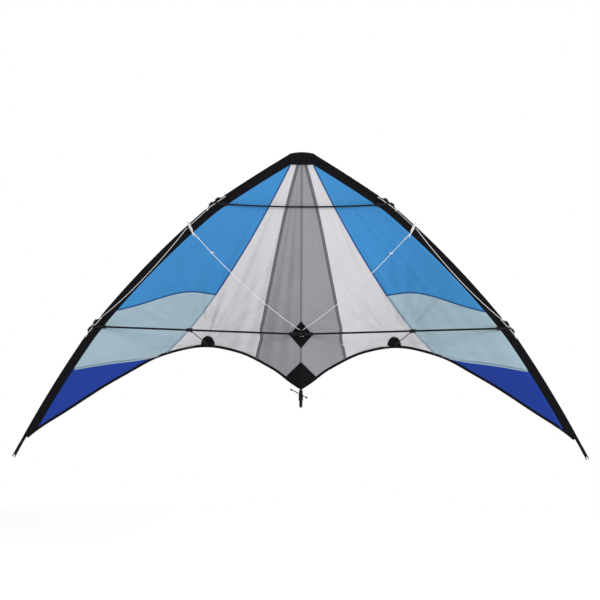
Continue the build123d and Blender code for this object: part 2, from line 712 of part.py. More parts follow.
def right_side():
    """Every piece of the right half, by name."""
    hitch_high, hitch_low = upper_hitch_point(), lower_hitch_point()
    pieces = {
        "upper_spar": tube(SPAR_RADIUS, SPAR_BORE, UPPER_SPAR_START, SPAR_JOINT_AT - RUNNING),
        "lower_spar": tube(SPAR_RADIUS, SPAR_BORE, SPAR_JOINT_AT + RUNNING, LOWER_SPAR_END),
        "spar_ferrule": along_spar(Circle(SPAR_BORE - RUNNING), SPAR_JOINT_AT - FERRULE_HALF,
                                   SPAR_JOINT_AT + FERRULE_HALF),
        "leading_edge_sleeve": leading_edge_sleeve(),
        "upper_connector": upper_connector(),
        "lower_connector": lower_connector(),
        "connector_stops": connector_stops(),
        "tip_nock": tip_nock(),
        "tip_tie": tip_tie(),
        "trailing_hem": trailing_hem(),
        "spreader_arm": spreader_arm(),
        "lower_spreader": rod(lower_spreader_point(ARM_START + ARM_FLOOR + 1), lower_spreader_point(
            LOWER_SPREADER_END), LOWER_SPREADER_RADIUS, LOWER_SPREADER_RADIUS - ROD_WALL),
        "bridle_hitches": bridle_hitches(),
        "standoff_cup": standoff_cup(),
        "standoff_patch": standoff_patch(),
        "standoff_clip": standoff_clip(),
        "standoff_rod": standoff_rod(),
        "bridle_inner_leg": bridle_leg(INNER_LEG_START, TOW_POINT, 0.0, KNOT_RADIUS + KNOT_GAP,
                                       INNER_LEG_SAG),
        "bridle_upper_leg": bridle_leg(hitch_high, TOW_POINT, HITCH_GAP, KNOT_RADIUS),
        "bridle_outer_leg": bridle_leg(hitch_low, TOW_POINT, HITCH_GAP, KNOT_RADIUS, OUTER_LEG_SAG),
        "tow_knot": Pos(*TOW_POINT) * Sphere(KNOT_RADIUS),
    }
    pieces.update(sail_panels())
    return pieces


def centre_pieces():
    """Every piece on the centre line, by name."""
    return {
        "spine": spine_piece(SPINE_RADIUS, SPINE_BOTTOM, SPINE_TOP)
        - spine_piece(SPINE_RADIUS - ROD_WALL, SPINE_BOTTOM - 1, SPINE_TOP + 1),
        "centre_hub": centre_hub(),
        "nose_webbing": nose_webbing(),
        "centre_patch": centre_patch(),
        "tail_patch": tail_patch(),
        "tail_nock": tail_nock(),
        "tail_tie": rod(*TAIL_TIE, TIE_DIAMETER / 2),
        "upper_spreader": upper_spreader(),
    }


def main():
    os.makedirs("parts", exist_ok=True)
    nodes = centre_pieces()
    for name, piece in right_side().items():
        nodes[f"right_{name}"] = piece
        nodes[f"left_{name}"] = mirror(piece, about=Plane.YZ)
    for name, piece in nodes.items():
        export_step(piece, f"parts/{name}.step")


main()
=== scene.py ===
"""The looks of the framed delta stunt kite: cloth, seams, stitching, lines and finishes round the CAD frame.

Metres, in the CAD's frame: +X is the span, -Y faces the flyer, +Z runs up to the nose.
"""

import math

import bmesh
import bpy
import numpy as np
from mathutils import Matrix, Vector, noise


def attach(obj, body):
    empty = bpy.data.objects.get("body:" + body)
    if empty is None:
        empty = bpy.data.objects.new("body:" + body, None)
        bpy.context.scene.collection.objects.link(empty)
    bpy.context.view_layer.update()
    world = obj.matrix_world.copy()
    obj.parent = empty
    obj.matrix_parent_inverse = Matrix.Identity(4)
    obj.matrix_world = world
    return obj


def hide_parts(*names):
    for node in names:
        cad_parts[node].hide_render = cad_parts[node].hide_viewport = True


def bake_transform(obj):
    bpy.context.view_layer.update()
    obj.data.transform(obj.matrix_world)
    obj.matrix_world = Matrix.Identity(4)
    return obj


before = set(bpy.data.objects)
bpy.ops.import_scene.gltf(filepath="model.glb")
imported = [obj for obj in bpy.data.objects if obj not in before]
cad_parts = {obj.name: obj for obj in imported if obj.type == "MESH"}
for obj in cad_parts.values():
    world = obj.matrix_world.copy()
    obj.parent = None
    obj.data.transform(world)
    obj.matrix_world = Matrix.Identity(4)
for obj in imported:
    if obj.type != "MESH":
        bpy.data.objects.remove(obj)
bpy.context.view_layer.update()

# ---- sizes of the kite, from the CAD source, with some cloth edges set closer -------------

NOSE_POINT = (0.0290, 0.4982)
NOSE_HEADING = 31.0
# length and turn in degrees of each stretch: rounded from a numeric fit to the measured edge
SPAR_BENDS = [(0.234, 3.2), (0.050, 7.0), (0.422, 9.4), (0.066, 5.1), (0.384, 6.7)]
SLEEVE_RADIUS = 0.004
SLEEVE_REACH = 0.0228  # inward at the nose
SLEEVE_TAPER = 0.0029  # narrower by this for each metre down the spar
SLEEVE_END = 1.098
SLEEVE_GATHERED_END = 1.117
SAIL_EDGE_INWARD = 0.0254
UPPER_CONNECTOR = (0.250, 0.018)  # distance down the spar, half length
LOWER_CONNECTOR = (0.731, 0.020)
WINDOW_MARGIN = 0.014
WINDOW_DEPTH = 0.003

STANDOFF_X = 0.269
SAIL_DEPTH = 0.162
SAIL_RIDGE_ROUNDING = 0.015
SAIL_RIDGE_SOFTENING = 0.055
SAIL_TIP_X = 0.762
SAIL_TIP_FALL = 1.25
# measured at near-even steps across the span and rounded, so more points than the curve needs
TRAILING_EDGE = [
    (0, -0.154), (0.033, -0.1335), (0.066, -0.1085), (0.101, -0.0885), (0.135, -0.071), (0.169, -0.0575),
    (0.204, -0.0485), (0.238, -0.0425), (0.272, -0.0403), (0.306, -0.043), (0.340, -0.050),
    (0.373, -0.059), (0.407, -0.071), (0.472, -0.106), (0.537, -0.1435), (0.603, -0.186),
    (0.667, -0.228), (0.733, -0.2715), (0.765, -0.298),
]
HEM_WIDTH = 0.005
# seams: places read off the real kite and turned into places on the sail, some then moved
GREY_SEAM = [
    (0.0069, 0.484), (0.041, 0.3532), (0.0834, 0.1502), (0.0980, 0.077), (0.1060, 0.037),
    (0.1115, 0.009), (0.1108, -0.012), (0.1158, -0.033),
]
WHITE_SEAM = [(0.0308, 0.471), (0.0911, 0.3533), (0.1988, 0.1707), (0.2413, 0.1072)]
WHITE_SEAM_LOW = (0.3169, 0.0094)
ARC_SEAM = [
    (0.2413, 0.109), (0.270, 0.1135), (0.3036, 0.117), (0.3461, 0.1122), (0.3905, 0.100), (0.4572, 0.078),
]
TIP_SEAM = [(0.453, -0.073), (0.5219, -0.0813), (0.575, -0.089)]
SAIL_TOP = 0.484
BLUE_TOP_AT = 0.019
ARC_SEAM_AT = 0.658
TIP_SEAM_AT = 0.862
GREY_HEM_X = 0.1244
WHITE_HEM_X = 0.379
LIGHT_HEM_X = 0.396
DEEP_TIP_X = 0.734
DEEP_TIP_AT = 1.062

UPPER_SPREADER_Z = 0.353
UPPER_SPREADER_BEND = 3.332
UPPER_SPREADER_END = 0.231
UPPER_SPREADER_RADIUS = 0.0023
SPREADER_Y = -0.006

DIAMOND = [(0, 0.036), (0.032, -0.002), (0, -0.039)]
TAIL_PATCH_TOP = -0.077
TAIL_PATCH_SIDE = (0.043, -0.1195)
STANDOFF_PATCH_X = 0.2644
STANDOFF_PATCH_HALF = 0.020
STANDOFF_PATCH_TOP = -0.0080
STANDOFF_FOOT = (0.268, -0.0297)
STREAKS_FROM = (0.312, 0.012)
NOSE_HALF = 0.035
NOSE_TOP = 0.505
NOSE_BOTTOM = 0.470
NOSE_FRONT = -0.0052
NOSE_BACK = 0.0104
NOSE_SHOULDER = 0.0055
NOSE_SIDE_DROP = 0.0046
NOSE_CORNER_RISE = 0.0012

BRIDLE_DIAMETER = 0.0015
TIE_DIAMETER = 0.0026
TIP_TIE_DIAMETER = 0.0015
TOW_POINT = (0.3003, -0.280, 0.2875)
INNER_LEG_START = (0.0025, -0.0035, 0.011)
INNER_LEG_SAG = 0.018
LEG_SAGS = {"upper": 0.0008, "outer": 0.014}
UPPER_HITCH_AT = 0.279
LOWER_HITCH_AT = 0.701
HITCH_FRONT = -0.0049
TAIL_TIE = [(-0.027, 0.006, -0.1542), (0.016, 0.006, -0.1762)]
TIP_TIE_SIDE = 0.0054
TIP_TIE_STATIONS = [1.100, 1.112, 1.128, 1.140]  # distances down the spar
TIP_TIE_TURN = [(1.1475, -0.0046), (1.1488, 0.0), (1.1475, 0.0046)]  # round the notch: (distance, y)

# ---- sizes of the fine detail ------------------------------------------------------------

CLOTH_THICKNESS = 0.0005
SEAM_THICKNESS = 0.0004
SEAM_LIFT = 0.0006
PATCH_LIFT = 0.0012
PATCH_THICKNESS = 0.0008
THREAD_RADIUS = 0.00022
HEM_TAPE_WIDTH = 0.0066
SIDES = {"right": 1, "left": -1}

CAMERA_AT = (-0.0035, -6.0, 0.095)
CAMERA_ROLL = -0.25  # degrees
CAMERA_LENS = 129.8

# creases: waves round or across, then along, for each radian or metre
STANDOFF_WAVES = (8.0, 4.0)
NOSE_WAVES = (26.0, 2.5)
LOW_WAVES = (5.0, 34.0)
LOW_WAVES_SLANT = 9.0
BROAD_WAVES = (9.0, 11.0)
STREAK_WAVES = (6.0, 6.0)
# where they start, how far they lift the cloth, and how far off they fade
NOSE_FOLDS_FROM_Z = 0.56
STANDOFF_FOLD_LIFT = 0.0130
STANDOFF_FOLD_FADE = 0.20
NOSE_FOLD_LIFT = 0.0042
LOW_FOLD_LIFT = 0.0036
BROAD_FOLD_LIFT = 0.0050
STREAK_LIFT = 0.0080
STREAK_FADE = 0.10
STREAK_RISE = 0.05
LOW_FOLDS_TOP = 0.02
LOW_FOLDS_RAMP = 0.06
LOW_FOLDS_OUT_TO = 0.2
FLAT_ROUND_FOOT = 0.08
FLAT_BY_CENTRE = 0.03


# ---- camera ------------------------------------------------------------------------------

def make_camera():
    """Straight on, level with the middle of the view, from six metres."""
    data = bpy.data.cameras.new("camera")
    data.sensor_width = 36.0
    data.lens = CAMERA_LENS
    camera = bpy.data.objects.new("camera", data)
    camera.location = CAMERA_AT
    camera.rotation_euler = (math.radians(90), math.radians(CAMERA_ROLL), 0)
    bpy.context.scene.collection.objects.link(camera)
    bpy.context.scene.camera = camera


# ---- curves ------------------------------------------------------------------------------

def leading_edge(distance):
    """The spar's centre line in the XZ plane: (x, z, heading below the horizontal in radians)."""
    x, z = NOSE_POINT
    heading = math.radians(NOSE_HEADING)
    left = distance
    for number, (length, turn) in enumerate(SPAR_BENDS):
        last = number == len(SPAR_BENDS) - 1
        bend = math.radians(turn) / length
        step = left if last else min(left, length)
        x += (math.sin(heading + bend * step) - math.sin(heading)) / bend
        z += (math.cos(heading + bend * step) - math.cos(heading)) / bend
        heading += bend * step
        left -= step
        if left <= 0:
            break
    return x, z, heading


def beside_spar(distance, inward, y=0.0):
    """A point beside the spar's centre line, inward towards the sail."""
    x, z, heading = leading_edge(distance)
    return x - inward * math.sin(heading), y, z - inward * math.cos(heading)


def distances_along(line):
    """The gaps between a line's points, and each point's distance from the start."""
    gaps = np.linalg.norm(np.diff(line, axis=0), axis=1)
    return gaps, np.concatenate([[0], np.cumsum(gaps)])


def unit_ways(line):
    """The way the line runs at each of its points."""
    ways = np.gradient(line, axis=0)
    return ways / np.linalg.norm(ways, axis=1)[:, None]


def smooth(points, count=120):
    """Points along the natural cubic curve through the given ones."""
    given = np.array(points, float)
    gaps, stations = distances_along(given)
    size = len(given)
    matrix = np.eye(size)
    right = np.zeros_like(given)
    for i in range(1, size - 1):
        matrix[i, i - 1:i + 2] = gaps[i - 1], 2 * (gaps[i - 1] + gaps[i]), gaps[i]
        right[i] = 6 * ((given[i + 1] - given[i]) / gaps[i] - (given[i] - given[i - 1]) / gaps[i - 1])
    bends = np.linalg.solve(matrix, right)
    at = np.linspace(0, stations[-1], count)
    span = np.clip(np.searchsorted(stations, at) - 1, 0, size - 2)
    width = gaps[span][:, None]
    after = (at - stations[span])[:, None]
    before = width - after
    return (
        bends[span] * before**3 / (6 * width)
        + bends[span + 1] * after**3 / (6 * width)
        + (given[span] / width - bends[span] * width / 6) * before
        + (given[span + 1] / width - bends[span + 1] * width / 6) * after
    )


def evenly(points, step):
    """Points about that far apart along a polyline."""
    line = np.array(points, float)
    _, stations = distances_along(line)
    at = np.linspace(0, stations[-1], max(2, int(round(stations[-1] / step)) + 1))
    return np.array([np.interp(at, stations, line[:, k]) for k in range(line.shape[1])]).T


def sleeve_reach(distance):
    """How far inward the sleeve's cloth reaches there."""
    return SLEEVE_REACH - SLEEVE_TAPER * distance


SLEEVE_EDGE = np.array([beside_spar(d, SAIL_EDGE_INWARD) for d in np.linspace(0, 1.110, 300)])
CLOTH_EDGE = np.array([beside_spar(d, sleeve_reach(d)) for d in np.linspace(0, 1.110, 300)])
TRAILING = smooth(TRAILING_EDGE, 300)


def trailing_z(x):
    """Height of the trailing edge."""
    return np.interp(x, TRAILING[:, 0], TRAILING[:, 1])


def hem_top_z(x):
    """Height of the hem's upper edge."""
    slope = (trailing_z(x + 0.002) - trailing_z(x - 0.002)) / 0.004
    return trailing_z(x) + HEM_WIDTH * np.sqrt(1 + slope**2)


def falling_depth(x):
    """The sail's depth outside the stand-off, as it closes to the tip."""
    out = np.clip((SAIL_TIP_X - x) / (SAIL_TIP_X - STANDOFF_X), 0, None)
    return SAIL_DEPTH * out**SAIL_TIP_FALL


def share_down(x, z):
    """0 at the sleeve's seam, 1 at the trailing edge."""
    top = np.interp(x, SLEEVE_EDGE[:, 0], SLEEVE_EDGE[:, 2])
    return np.clip((top - z) / np.maximum(top - trailing_z(x), 0.001), 0, 1.08)


def sail_y(x, z):
    """The sail's middle surface: flat at the leading edge, deepest where the stand-off pushes it."""
    share = share_down(x, z)
    rounding = SAIL_RIDGE_ROUNDING + SAIL_RIDGE_SOFTENING * np.clip(1 - share, 0, 1)
    rising = SAIL_DEPTH * x / STANDOFF_X
    ridge = np.exp(-rising / rounding) + np.exp(-falling_depth(x) / rounding)
    return -rounding * np.log(ridge - np.exp(-falling_depth(0.0) / rounding)) * share


def wave(across, along, waves, seed, slant=0.0):
    """Smooth noise, from about -1 to 1, with that many waves each way."""
    return noise.noise(Vector((across * waves[0], along * waves[1] + slant, seed)))


def fold(x, z, side):
    """How far soft creases lift the cloth there: they run to the stand-off and to the nose."""
    out_x, out_z = x - STANDOFF_FOOT[0], z - STANDOFF_FOOT[1]
    reach = math.hypot(out_x, out_z)
    turn = math.atan2(out_z, out_x)
    nose_turn = math.atan2(x, NOSE_FOLDS_FROM_Z - z)
    to_standoff = wave(turn, reach, STANDOFF_WAVES, 3.1 * side)
    to_nose = wave(nose_turn, z, NOSE_WAVES, 7.3 + side)
    across = wave(x, z, LOW_WAVES, 21.9 + side, x * LOW_WAVES_SLANT)
    broad = wave(x, z, BROAD_WAVES, 12.7 + side)
    seam_x, seam_z = x - STREAKS_FROM[0], z - STREAKS_FROM[1]
    from_seam = math.hypot(seam_x, seam_z)
    streak = wave(math.atan2(seam_z, seam_x), from_seam, STREAK_WAVES, 31.3 + side)
    low = max(0.0, min(1.0, (LOW_FOLDS_TOP - z) / LOW_FOLDS_RAMP)) * max(0.0, 1 - x / LOW_FOLDS_OUT_TO)
    lift = STANDOFF_FOLD_LIFT * to_standoff * math.exp(-reach / STANDOFF_FOLD_FADE) + NOSE_FOLD_LIFT * to_nose
    lift += LOW_FOLD_LIFT * across * low + BROAD_FOLD_LIFT * broad
    lift += STREAK_LIFT * streak * math.exp(-from_seam / STREAK_FADE) * min(1.0, from_seam / STREAK_RISE)
    near_foot = min(1.0, reach / FLAT_ROUND_FOOT)
    near_centre = min(1.0, x / FLAT_BY_CENTRE)
    near_sleeve = min(1.0, 0.03 + 2.5 * float(share_down(x, z)))
    return lift * near_foot * near_centre * near_sleeve


def cloth_y(x, z, side):
    """The sail's middle surface with its creases."""
    x, z = float(x), float(z)
    return float(sail_y(x, z)) + fold(x, z, side)


# ---- mesh helpers ------------------------------------------------------------------------

def add_mesh(name, points, faces, material, side=1):
    """A smooth mesh object. Points are for the right side, and the left side is their mirror image."""
    if side < 0:
        points = [(-p[0], p[1], p[2]) for p in points]
        faces = [tuple(reversed(f)) for f in faces]
    mesh = bpy.data.meshes.new(name)
    mesh.from_pydata([tuple(map(float, p)) for p in points], [], faces)
    mesh.materials.append(material)
    mesh.shade_smooth()
    piece = bpy.data.objects.new(name, mesh)
    bpy.context.scene.collection.objects.link(piece)
    return piece


def thicken(piece, thickness):
    """Gives a sheet its thickness, half to each side."""
    layer = piece.modifiers.new("thickness", "SOLIDIFY")
    layer.thickness = thickness
    layer.offset = 0.0


def grid_faces(rows, columns, closed=False):
    """Faces over rows of points, each row that many columns long."""
    across = columns if closed else columns - 1
    return [
        (r * columns + c, r * columns + (c + 1) % columns,
         (r + 1) * columns + (c + 1) % columns, (r + 1) * columns + c)
        for r in range(rows - 1) for c in range(across)
    ]


def capped_faces(rows, columns):
    """Faces round closed rows of points, with the first and the last row filled."""
    last = (rows - 1) * columns
    faces = grid_faces(rows, columns, closed=True)
    faces.append(tuple(reversed(range(columns))))
    faces.append(tuple(range(last, last + columns)))
    return faces


def frames_along(points):
    """Two directions across the line at each point, carried along it without twist."""
    line = np.array(points, float)
    ways = unit_ways(line)
    start = np.array([0, 0, 1.0]) if abs(ways[0][2]) < 0.9 else np.array([1.0, 0, 0])
    across = []
    for way in ways:
        start = start - way * (start @ way)
        start = start / np.linalg.norm(start)
        across.append((start, np.cross(way, start)))
    return line, across


def tube(name, points, radius, material, side=1, around=12):
    """A round closed tube along a line. Radius is one number, or one for each point."""
    line, across = frames_along(points)
    radii = np.broadcast_to(radius, len(line))
    rim = [(math.cos(a), math.sin(a)) for a in np.linspace(0, 2 * math.pi, around, endpoint=False)]
    made = [p + r * (c * u + s * v) for p, r, (u, v) in zip(line, radii, across) for c, s in rim]
    faces = [tuple(reversed(f)) for f in capped_faces(len(line), around)]
    return add_mesh(name, made, faces, material, side)


def cut_sheet(name, outline, side, lift, material, cell=0.005, hole=None):
    """Cloth cut to an outline in the XZ plane and laid on the sail's front. A hole is (x, z) half sizes."""
    shape = bmesh.new()
    shape.faces.new([shape.verts.new((x, 0, z)) for x, z in outline])
    xs, zs = [p[0] for p in outline], [p[1] for p in outline]
    cuts = [((x, 0, 0), (1, 0, 0)) for x in np.arange(min(xs) + cell, max(xs), cell)]
    cuts += [((0, 0, z), (0, 0, 1)) for z in np.arange(min(zs) + cell, max(zs), cell)]
    slice_faces(shape, cuts)
    if hole:
        open_hole(shape, hole)
    flat, faces = points_and_faces(shape)
    points = [(x, cloth_y(x, z, side) - lift, z) for x, _, z in flat]
    piece = add_mesh(name, points, faces, material, side)
    thicken(piece, PATCH_THICKNESS)
    return piece


def slice_faces(shape, cuts):
    """Cuts the faces along planes, each given by a place on it and the way it faces."""
    for place, way in cuts:
        everything = shape.verts[:] + shape.edges[:] + shape.faces[:]
        bmesh.ops.bisect_plane(shape, geom=everything, plane_co=place, plane_no=way, dist=1e-7)


def points_and_faces(shape):
    """A shape's points and faces as plain lists. The shape itself is freed."""
    shape.verts.index_update()
    points = [tuple(v.co) for v in shape.verts]
    faces = [tuple(v.index for v in f.verts) for f in shape.faces]
    shape.free()
    return points, faces


def open_hole(shape, hole):
    """Opens the right half of a hole round the origin, given by its (x, z) half sizes."""
    half_x, half_z = hole
    slice_faces(shape, [((half_x, 0, 0), (1, 0, 0))])
    slice_faces(shape, [((0, 0, half_z), (0, 0, 1)), ((0, 0, -half_z), (0, 0, 1))])
    inside = [
        f for f in shape.faces
        if abs(f.calc_center_median().x) < hole[0] and abs(f.calc_center_median().z) < hole[1]
    ]
    bmesh.ops.delete(shape, geom=inside, context="FACES")


def join_stitches(name, stitches, material, side=1, radius=THREAD_RADIUS):
    """One mesh of thread stitches, each a slim spindle from one point to another."""
    points, faces = [], []
    for start, end in stitches:
        start, end = np.array(start, float), np.array(end, float)
        way = (end - start) / np.linalg.norm(end - start)
        up = np.cross(way, (0, 1.0, 0))
        up /= max(np.linalg.norm(up), 1e-9)
        out = np.cross(way, up)
        base = len(points)
        quarter = (end - start) * 0.2
        points.append(start)
        for place in (start + quarter, end - quarter):
            points += [place + radius * d for d in (up, out, -up, -out)]
        points.append(end)
        for k in range(4):
            after = (k + 1) % 4
            faces.append((base, base + 1 + after, base + 1 + k))
            faces.append((base + 1 + k, base + 1 + after, base + 5 + after, base + 5 + k))
            faces.append((base + 9, base + 5 + k, base + 5 + after))
    return add_mesh(name, points, faces, material, side)


def zigzag(line, side, half, lift, step=0.0026):
    """Zigzag stitches down the middle of a seam on the sail's front."""
    middle = evenly(line, step)
    ways = unit_ways(middle)
    turns = [
        (x + s * half * way[1], z - s * half * way[0])
        for (x, z), way, s in zip(middle, ways, np.resize([1, -1], len(middle)))
    ]
    points = [(x, cloth_y(x, z, side) - lift, z) for x, z in turns]
    return list(zip(points, points[1:]))


def running(points, stitch=0.003, gap=0.0008):
    """A straight row of stitches along a line."""
    line = evenly(points, stitch + gap)
    stay = gap / (stitch + gap)
    return [(a + (b - a) * stay / 2, b - (b - a) * stay / 2) for a, b in zip(line, line[1:])]


# ---- materials ---------------------------------------------------------------------------

def add_node(tree, kind, inputs=None, **settings):
    """A shader node with its settings, and its inputs set or linked."""
    made = tree.nodes.new(kind)
    for key, value in settings.items():
        setattr(made, key, value)
    for socket, value in (inputs or {}).items():
        if isinstance(value, bpy.types.NodeSocket):
            tree.links.new(value, made.inputs[socket])
        else:
            made.inputs[socket].default_value = value
    return made


def calc(tree, operation, *values):
    """One maths node."""
    return add_node(tree, "ShaderNodeMath", dict(enumerate(values)), operation=operation).outputs[0]


def new_material(name, **sockets):
    """A Principled material with plain values on its own sockets: (material, tree, shader)."""
    material = bpy.data.materials.new(name)
    material.use_nodes = True
    tree = material.node_tree
    shader = next(n for n in tree.nodes if n.type == "BSDF_PRINCIPLED")
    for socket, value in sockets.items():
        shader.inputs[socket.replace("_", " ")].default_value = value
    return material, tree, shader


def tinted(colour, factor):
    """A colour made darker or lighter."""
    return tuple(min(1.0, c * factor) for c in colour) + (1.0,)


def object_place(tree, turn=(0, 0, 0), scale=(1, 1, 1)):
    """The place on the piece in metres, turned and scaled, as separate x, y and z."""
    place = add_node(tree, "ShaderNodeTexCoord").outputs["Object"]
    turned = add_node(tree, "ShaderNodeMapping", {"Vector": place, "Rotation": turn, "Scale": scale})
    parts = add_node(tree, "ShaderNodeSeparateXYZ", {"Vector": turned.outputs[0]})
    return turned.outputs[0], parts.outputs


def ridges(tree, along, pitch, width):
    """1 on lines that pitch apart, falling to 0 within that width."""
    back_and_forth = calc(tree, "PINGPONG", along, pitch / 2)
    return add_node(tree, "ShaderNodeMapRange", {
        "Value": back_and_forth, "From Min": 0.0, "From Max": width, "To Min": 1.0, "To Max": 0.0,
    }, interpolation_type="SMOOTHSTEP").outputs[0]


def soft_noise(tree, place, scale, detail=2.0):
    """A noise texture's value."""
    return add_node(tree, "ShaderNodeTexNoise", {
        "Vector": place, "Scale": scale, "Detail": detail}).outputs[0]


def blend_colours(tree, share, low, high):
    """A colour between two, by a share."""
    return add_node(tree, "ShaderNodeMix", {0: share, 6: low, 7: high}, data_type="RGBA").outputs[2]


def finish_shader(tree, shader, colour, height, strength, distance, roughness=None):
    """Links the colour, a bump from the height, and the roughness."""
    bump = add_node(tree, "ShaderNodeBump", {
        "Height": height, "Strength": strength, "Distance": distance}).outputs[0]
    tree.links.new(colour, shader.inputs["Base Color"])
    tree.links.new(bump, shader.inputs["Normal"])
    if roughness is not None:
        tree.links.new(roughness, shader.inputs["Roughness"])


def ranged(tree, value, low, high):
    """A 0 to 1 value spread from low to high."""
    return add_node(tree, "ShaderNodeMapRange", {
        "Value": value, "From Min": 0.3, "From Max": 0.7, "To Min": low, "To Max": high}).outputs[0]


def ripstop(name, colour, turn, grid_dark=0.80, gloss=0.30):
    """Coated ripstop nylon: a 5 mm grid of thick threads in a fine weave, softly shiny."""
    material, tree, shader = new_material(
        name, Sheen_Weight=gloss / 4, Sheen_Roughness=0.45, Specular_IOR_Level=gloss)
    place, (x, _, z) = object_place(tree, (0, turn, 0))
    grid = calc(tree, "MAXIMUM", ridges(tree, x, 0.005, 0.0003), ridges(tree, z, 0.005, 0.0003))
    weave = calc(tree, "MAXIMUM", ridges(tree, x, 0.0005, 0.0002), ridges(tree, z, 0.0005, 0.0002))
    patchy = soft_noise(tree, place, 7.0, 3.0)
    base = blend_colours(tree, patchy, tinted(colour, 0.90), tinted(colour, 1.10))
    shade = blend_colours(tree, calc(tree, "MULTIPLY", grid, 0.6), base, tinted(colour, grid_dark))
    height = calc(tree, "MULTIPLY_ADD", grid, 1.0, calc(tree, "MULTIPLY", weave, 0.25))
    crinkle = calc(tree, "MULTIPLY_ADD", soft_noise(tree, place, 90.0, 4.0), 1.2, height)
    finish_shader(tree, shader, shade, crinkle, 0.35, 0.00025, ranged(tree, patchy, 0.50, 0.66))
    return material


def cloth(name, colour, pitch, roughness, bump=0.5):
    """Plain black cloth or tape: a crossed weave with a painted highlight on its raised threads, dusty and
    slightly worn in patches.
    """
    material, tree, shader = new_material(
        name, Sheen_Weight=0.004, Sheen_Roughness=0.5, Specular_IOR_Level=0.035)
    place, (x, y, z) = object_place(tree, (0, math.radians(38), 0))
    warp = ridges(tree, x, pitch, pitch * 0.45)
    weft = ridges(tree, calc(tree, "ADD", z, y), pitch, pitch * 0.45)
    weave = calc(tree, "MAXIMUM", warp, weft)
    wear = soft_noise(tree, place, 60.0, 6.0)
    worn = blend_colours(tree, wear, tinted(colour, 0.75), tinted(colour, 1.5))
    # painted highlight: the raised weave threads are lighter
    shade = blend_colours(tree, calc(tree, "MULTIPLY", weave, 0.5), worn, tinted(colour, 1.9))
    rough = ranged(tree, wear, roughness, roughness + 0.12)
    finish_shader(tree, shader, shade, weave, bump, pitch * 0.25, rough)
    return material


def webbing(name, colour):
    """Heavy woven webbing: ribs across the strap and a herringbone down it."""
    material, tree, shader = new_material(
        name, Sheen_Weight=0.006, Sheen_Roughness=0.4, Specular_IOR_Level=0.05)
    place, (x, y, z) = object_place(tree)
    ribs = ridges(tree, calc(tree, "ADD", z, y), 0.0016, 0.0007)
    slant = ridges(tree, calc(tree, "ADD", x, calc(tree, "MULTIPLY", z, 0.6)), 0.0022, 0.0009)
    height = calc(tree, "MULTIPLY_ADD", slant, 0.5, ribs)
    wear = soft_noise(tree, place, 110.0, 5.0)
    worn = blend_colours(tree, wear, tinted(colour, 0.7), tinted(colour, 1.7))
    # painted highlight: the raised ribs are lighter
    shade = blend_colours(tree, calc(tree, "MULTIPLY", ribs, 0.4), worn, tinted(colour, 2.2))
    finish_shader(tree, shader, shade, height, 0.7, 0.0005, ranged(tree, wear, 0.7, 0.85))
    return material


def carbon(name, colour, scale):
    """Pultruded carbon rod: fine fibres along it under a thin skin of resin."""
    material, tree, shader = new_material(
        name, Coat_Weight=0.05, Coat_Roughness=0.22, Specular_IOR_Level=0.07)
    place, _ = object_place(tree, (0, 0, 0), scale)
    fibres = soft_noise(tree, place, 60.0, 4.0)
    shade = blend_colours(tree, fibres, tinted(colour, 0.6), tinted(colour, 1.9))
    finish_shader(tree, shader, shade, fibres, 0.15, 0.0001, ranged(tree, fibres, 0.30, 0.46))
    return material


def moulded(name, colour, roughness, gloss=0.08):
    """Moulded plastic: a faint pebbled skin, scuffed a little."""
    material, tree, shader = new_material(name, Specular_IOR_Level=gloss)
    place, _ = object_place(tree)
    pebbles = soft_noise(tree, place, 900.0, 2.0)
    scuffs = soft_noise(tree, place, 140.0, 6.0)
    shade = blend_colours(tree, scuffs, tinted(colour, 0.8), tinted(colour, 1.6))
    rough = ranged(tree, scuffs, roughness, roughness + 0.15)
    finish_shader(tree, shader, shade, pebbles, 0.2, 0.0001, rough)
    return material


def braid(name, colour, pitch, gloss=0.3):
    """Braided line: two sets of strands that cross."""
    material, tree, shader = new_material(
        name, Sheen_Weight=gloss / 2, Sheen_Roughness=0.4, Specular_IOR_Level=gloss)
    place, (x, y, z) = object_place(tree)
    one = ridges(tree, calc(tree, "ADD", x, z), pitch, pitch * 0.4)
    other = ridges(tree, calc(tree, "SUBTRACT", y, z), pitch, pitch * 0.4)
    strands = calc(tree, "MAXIMUM", one, other)
    fuzz = soft_noise(tree, place, 300.0, 4.0)
    worn = blend_colours(tree, fuzz, tinted(colour, 0.85), tinted(colour, 1.08))
    # painted shade: the grooves between the strands are darker
    shade = blend_colours(tree, strands, tinted(colour, 0.78), worn)
    finish_shader(tree, shader, shade, strands, 0.6, pitch * 0.2, ranged(tree, fuzz, 0.55, 0.7))
    return material


def metal(name, colour):
    """Drawn aluminium: fine lines along it."""
    material, tree, shader = new_material(name, Metallic=1.0)
    place, _ = object_place(tree, (0, math.radians(35), 0), (1, 12, 12))
    drawn = soft_noise(tree, place, 220.0, 3.0)
    shade = blend_colours(tree, drawn, tinted(colour, 0.85), tinted(colour, 1.1))
    finish_shader(tree, shader, shade, drawn, 0.15, 0.0001, ranged(tree, drawn, 0.3, 0.45))
    return material


GREY = (0.178, 0.169, 0.191)
WHITE = (0.394, 0.387, 0.406)
BLUE = (0.015, 0.148, 0.352)
LIGHT_BLUE = (0.215, 0.297, 0.345)
DEEP_BLUE = (0.0050, 0.0254, 0.192)
BLACK = (0.0031, 0.0029, 0.0037)


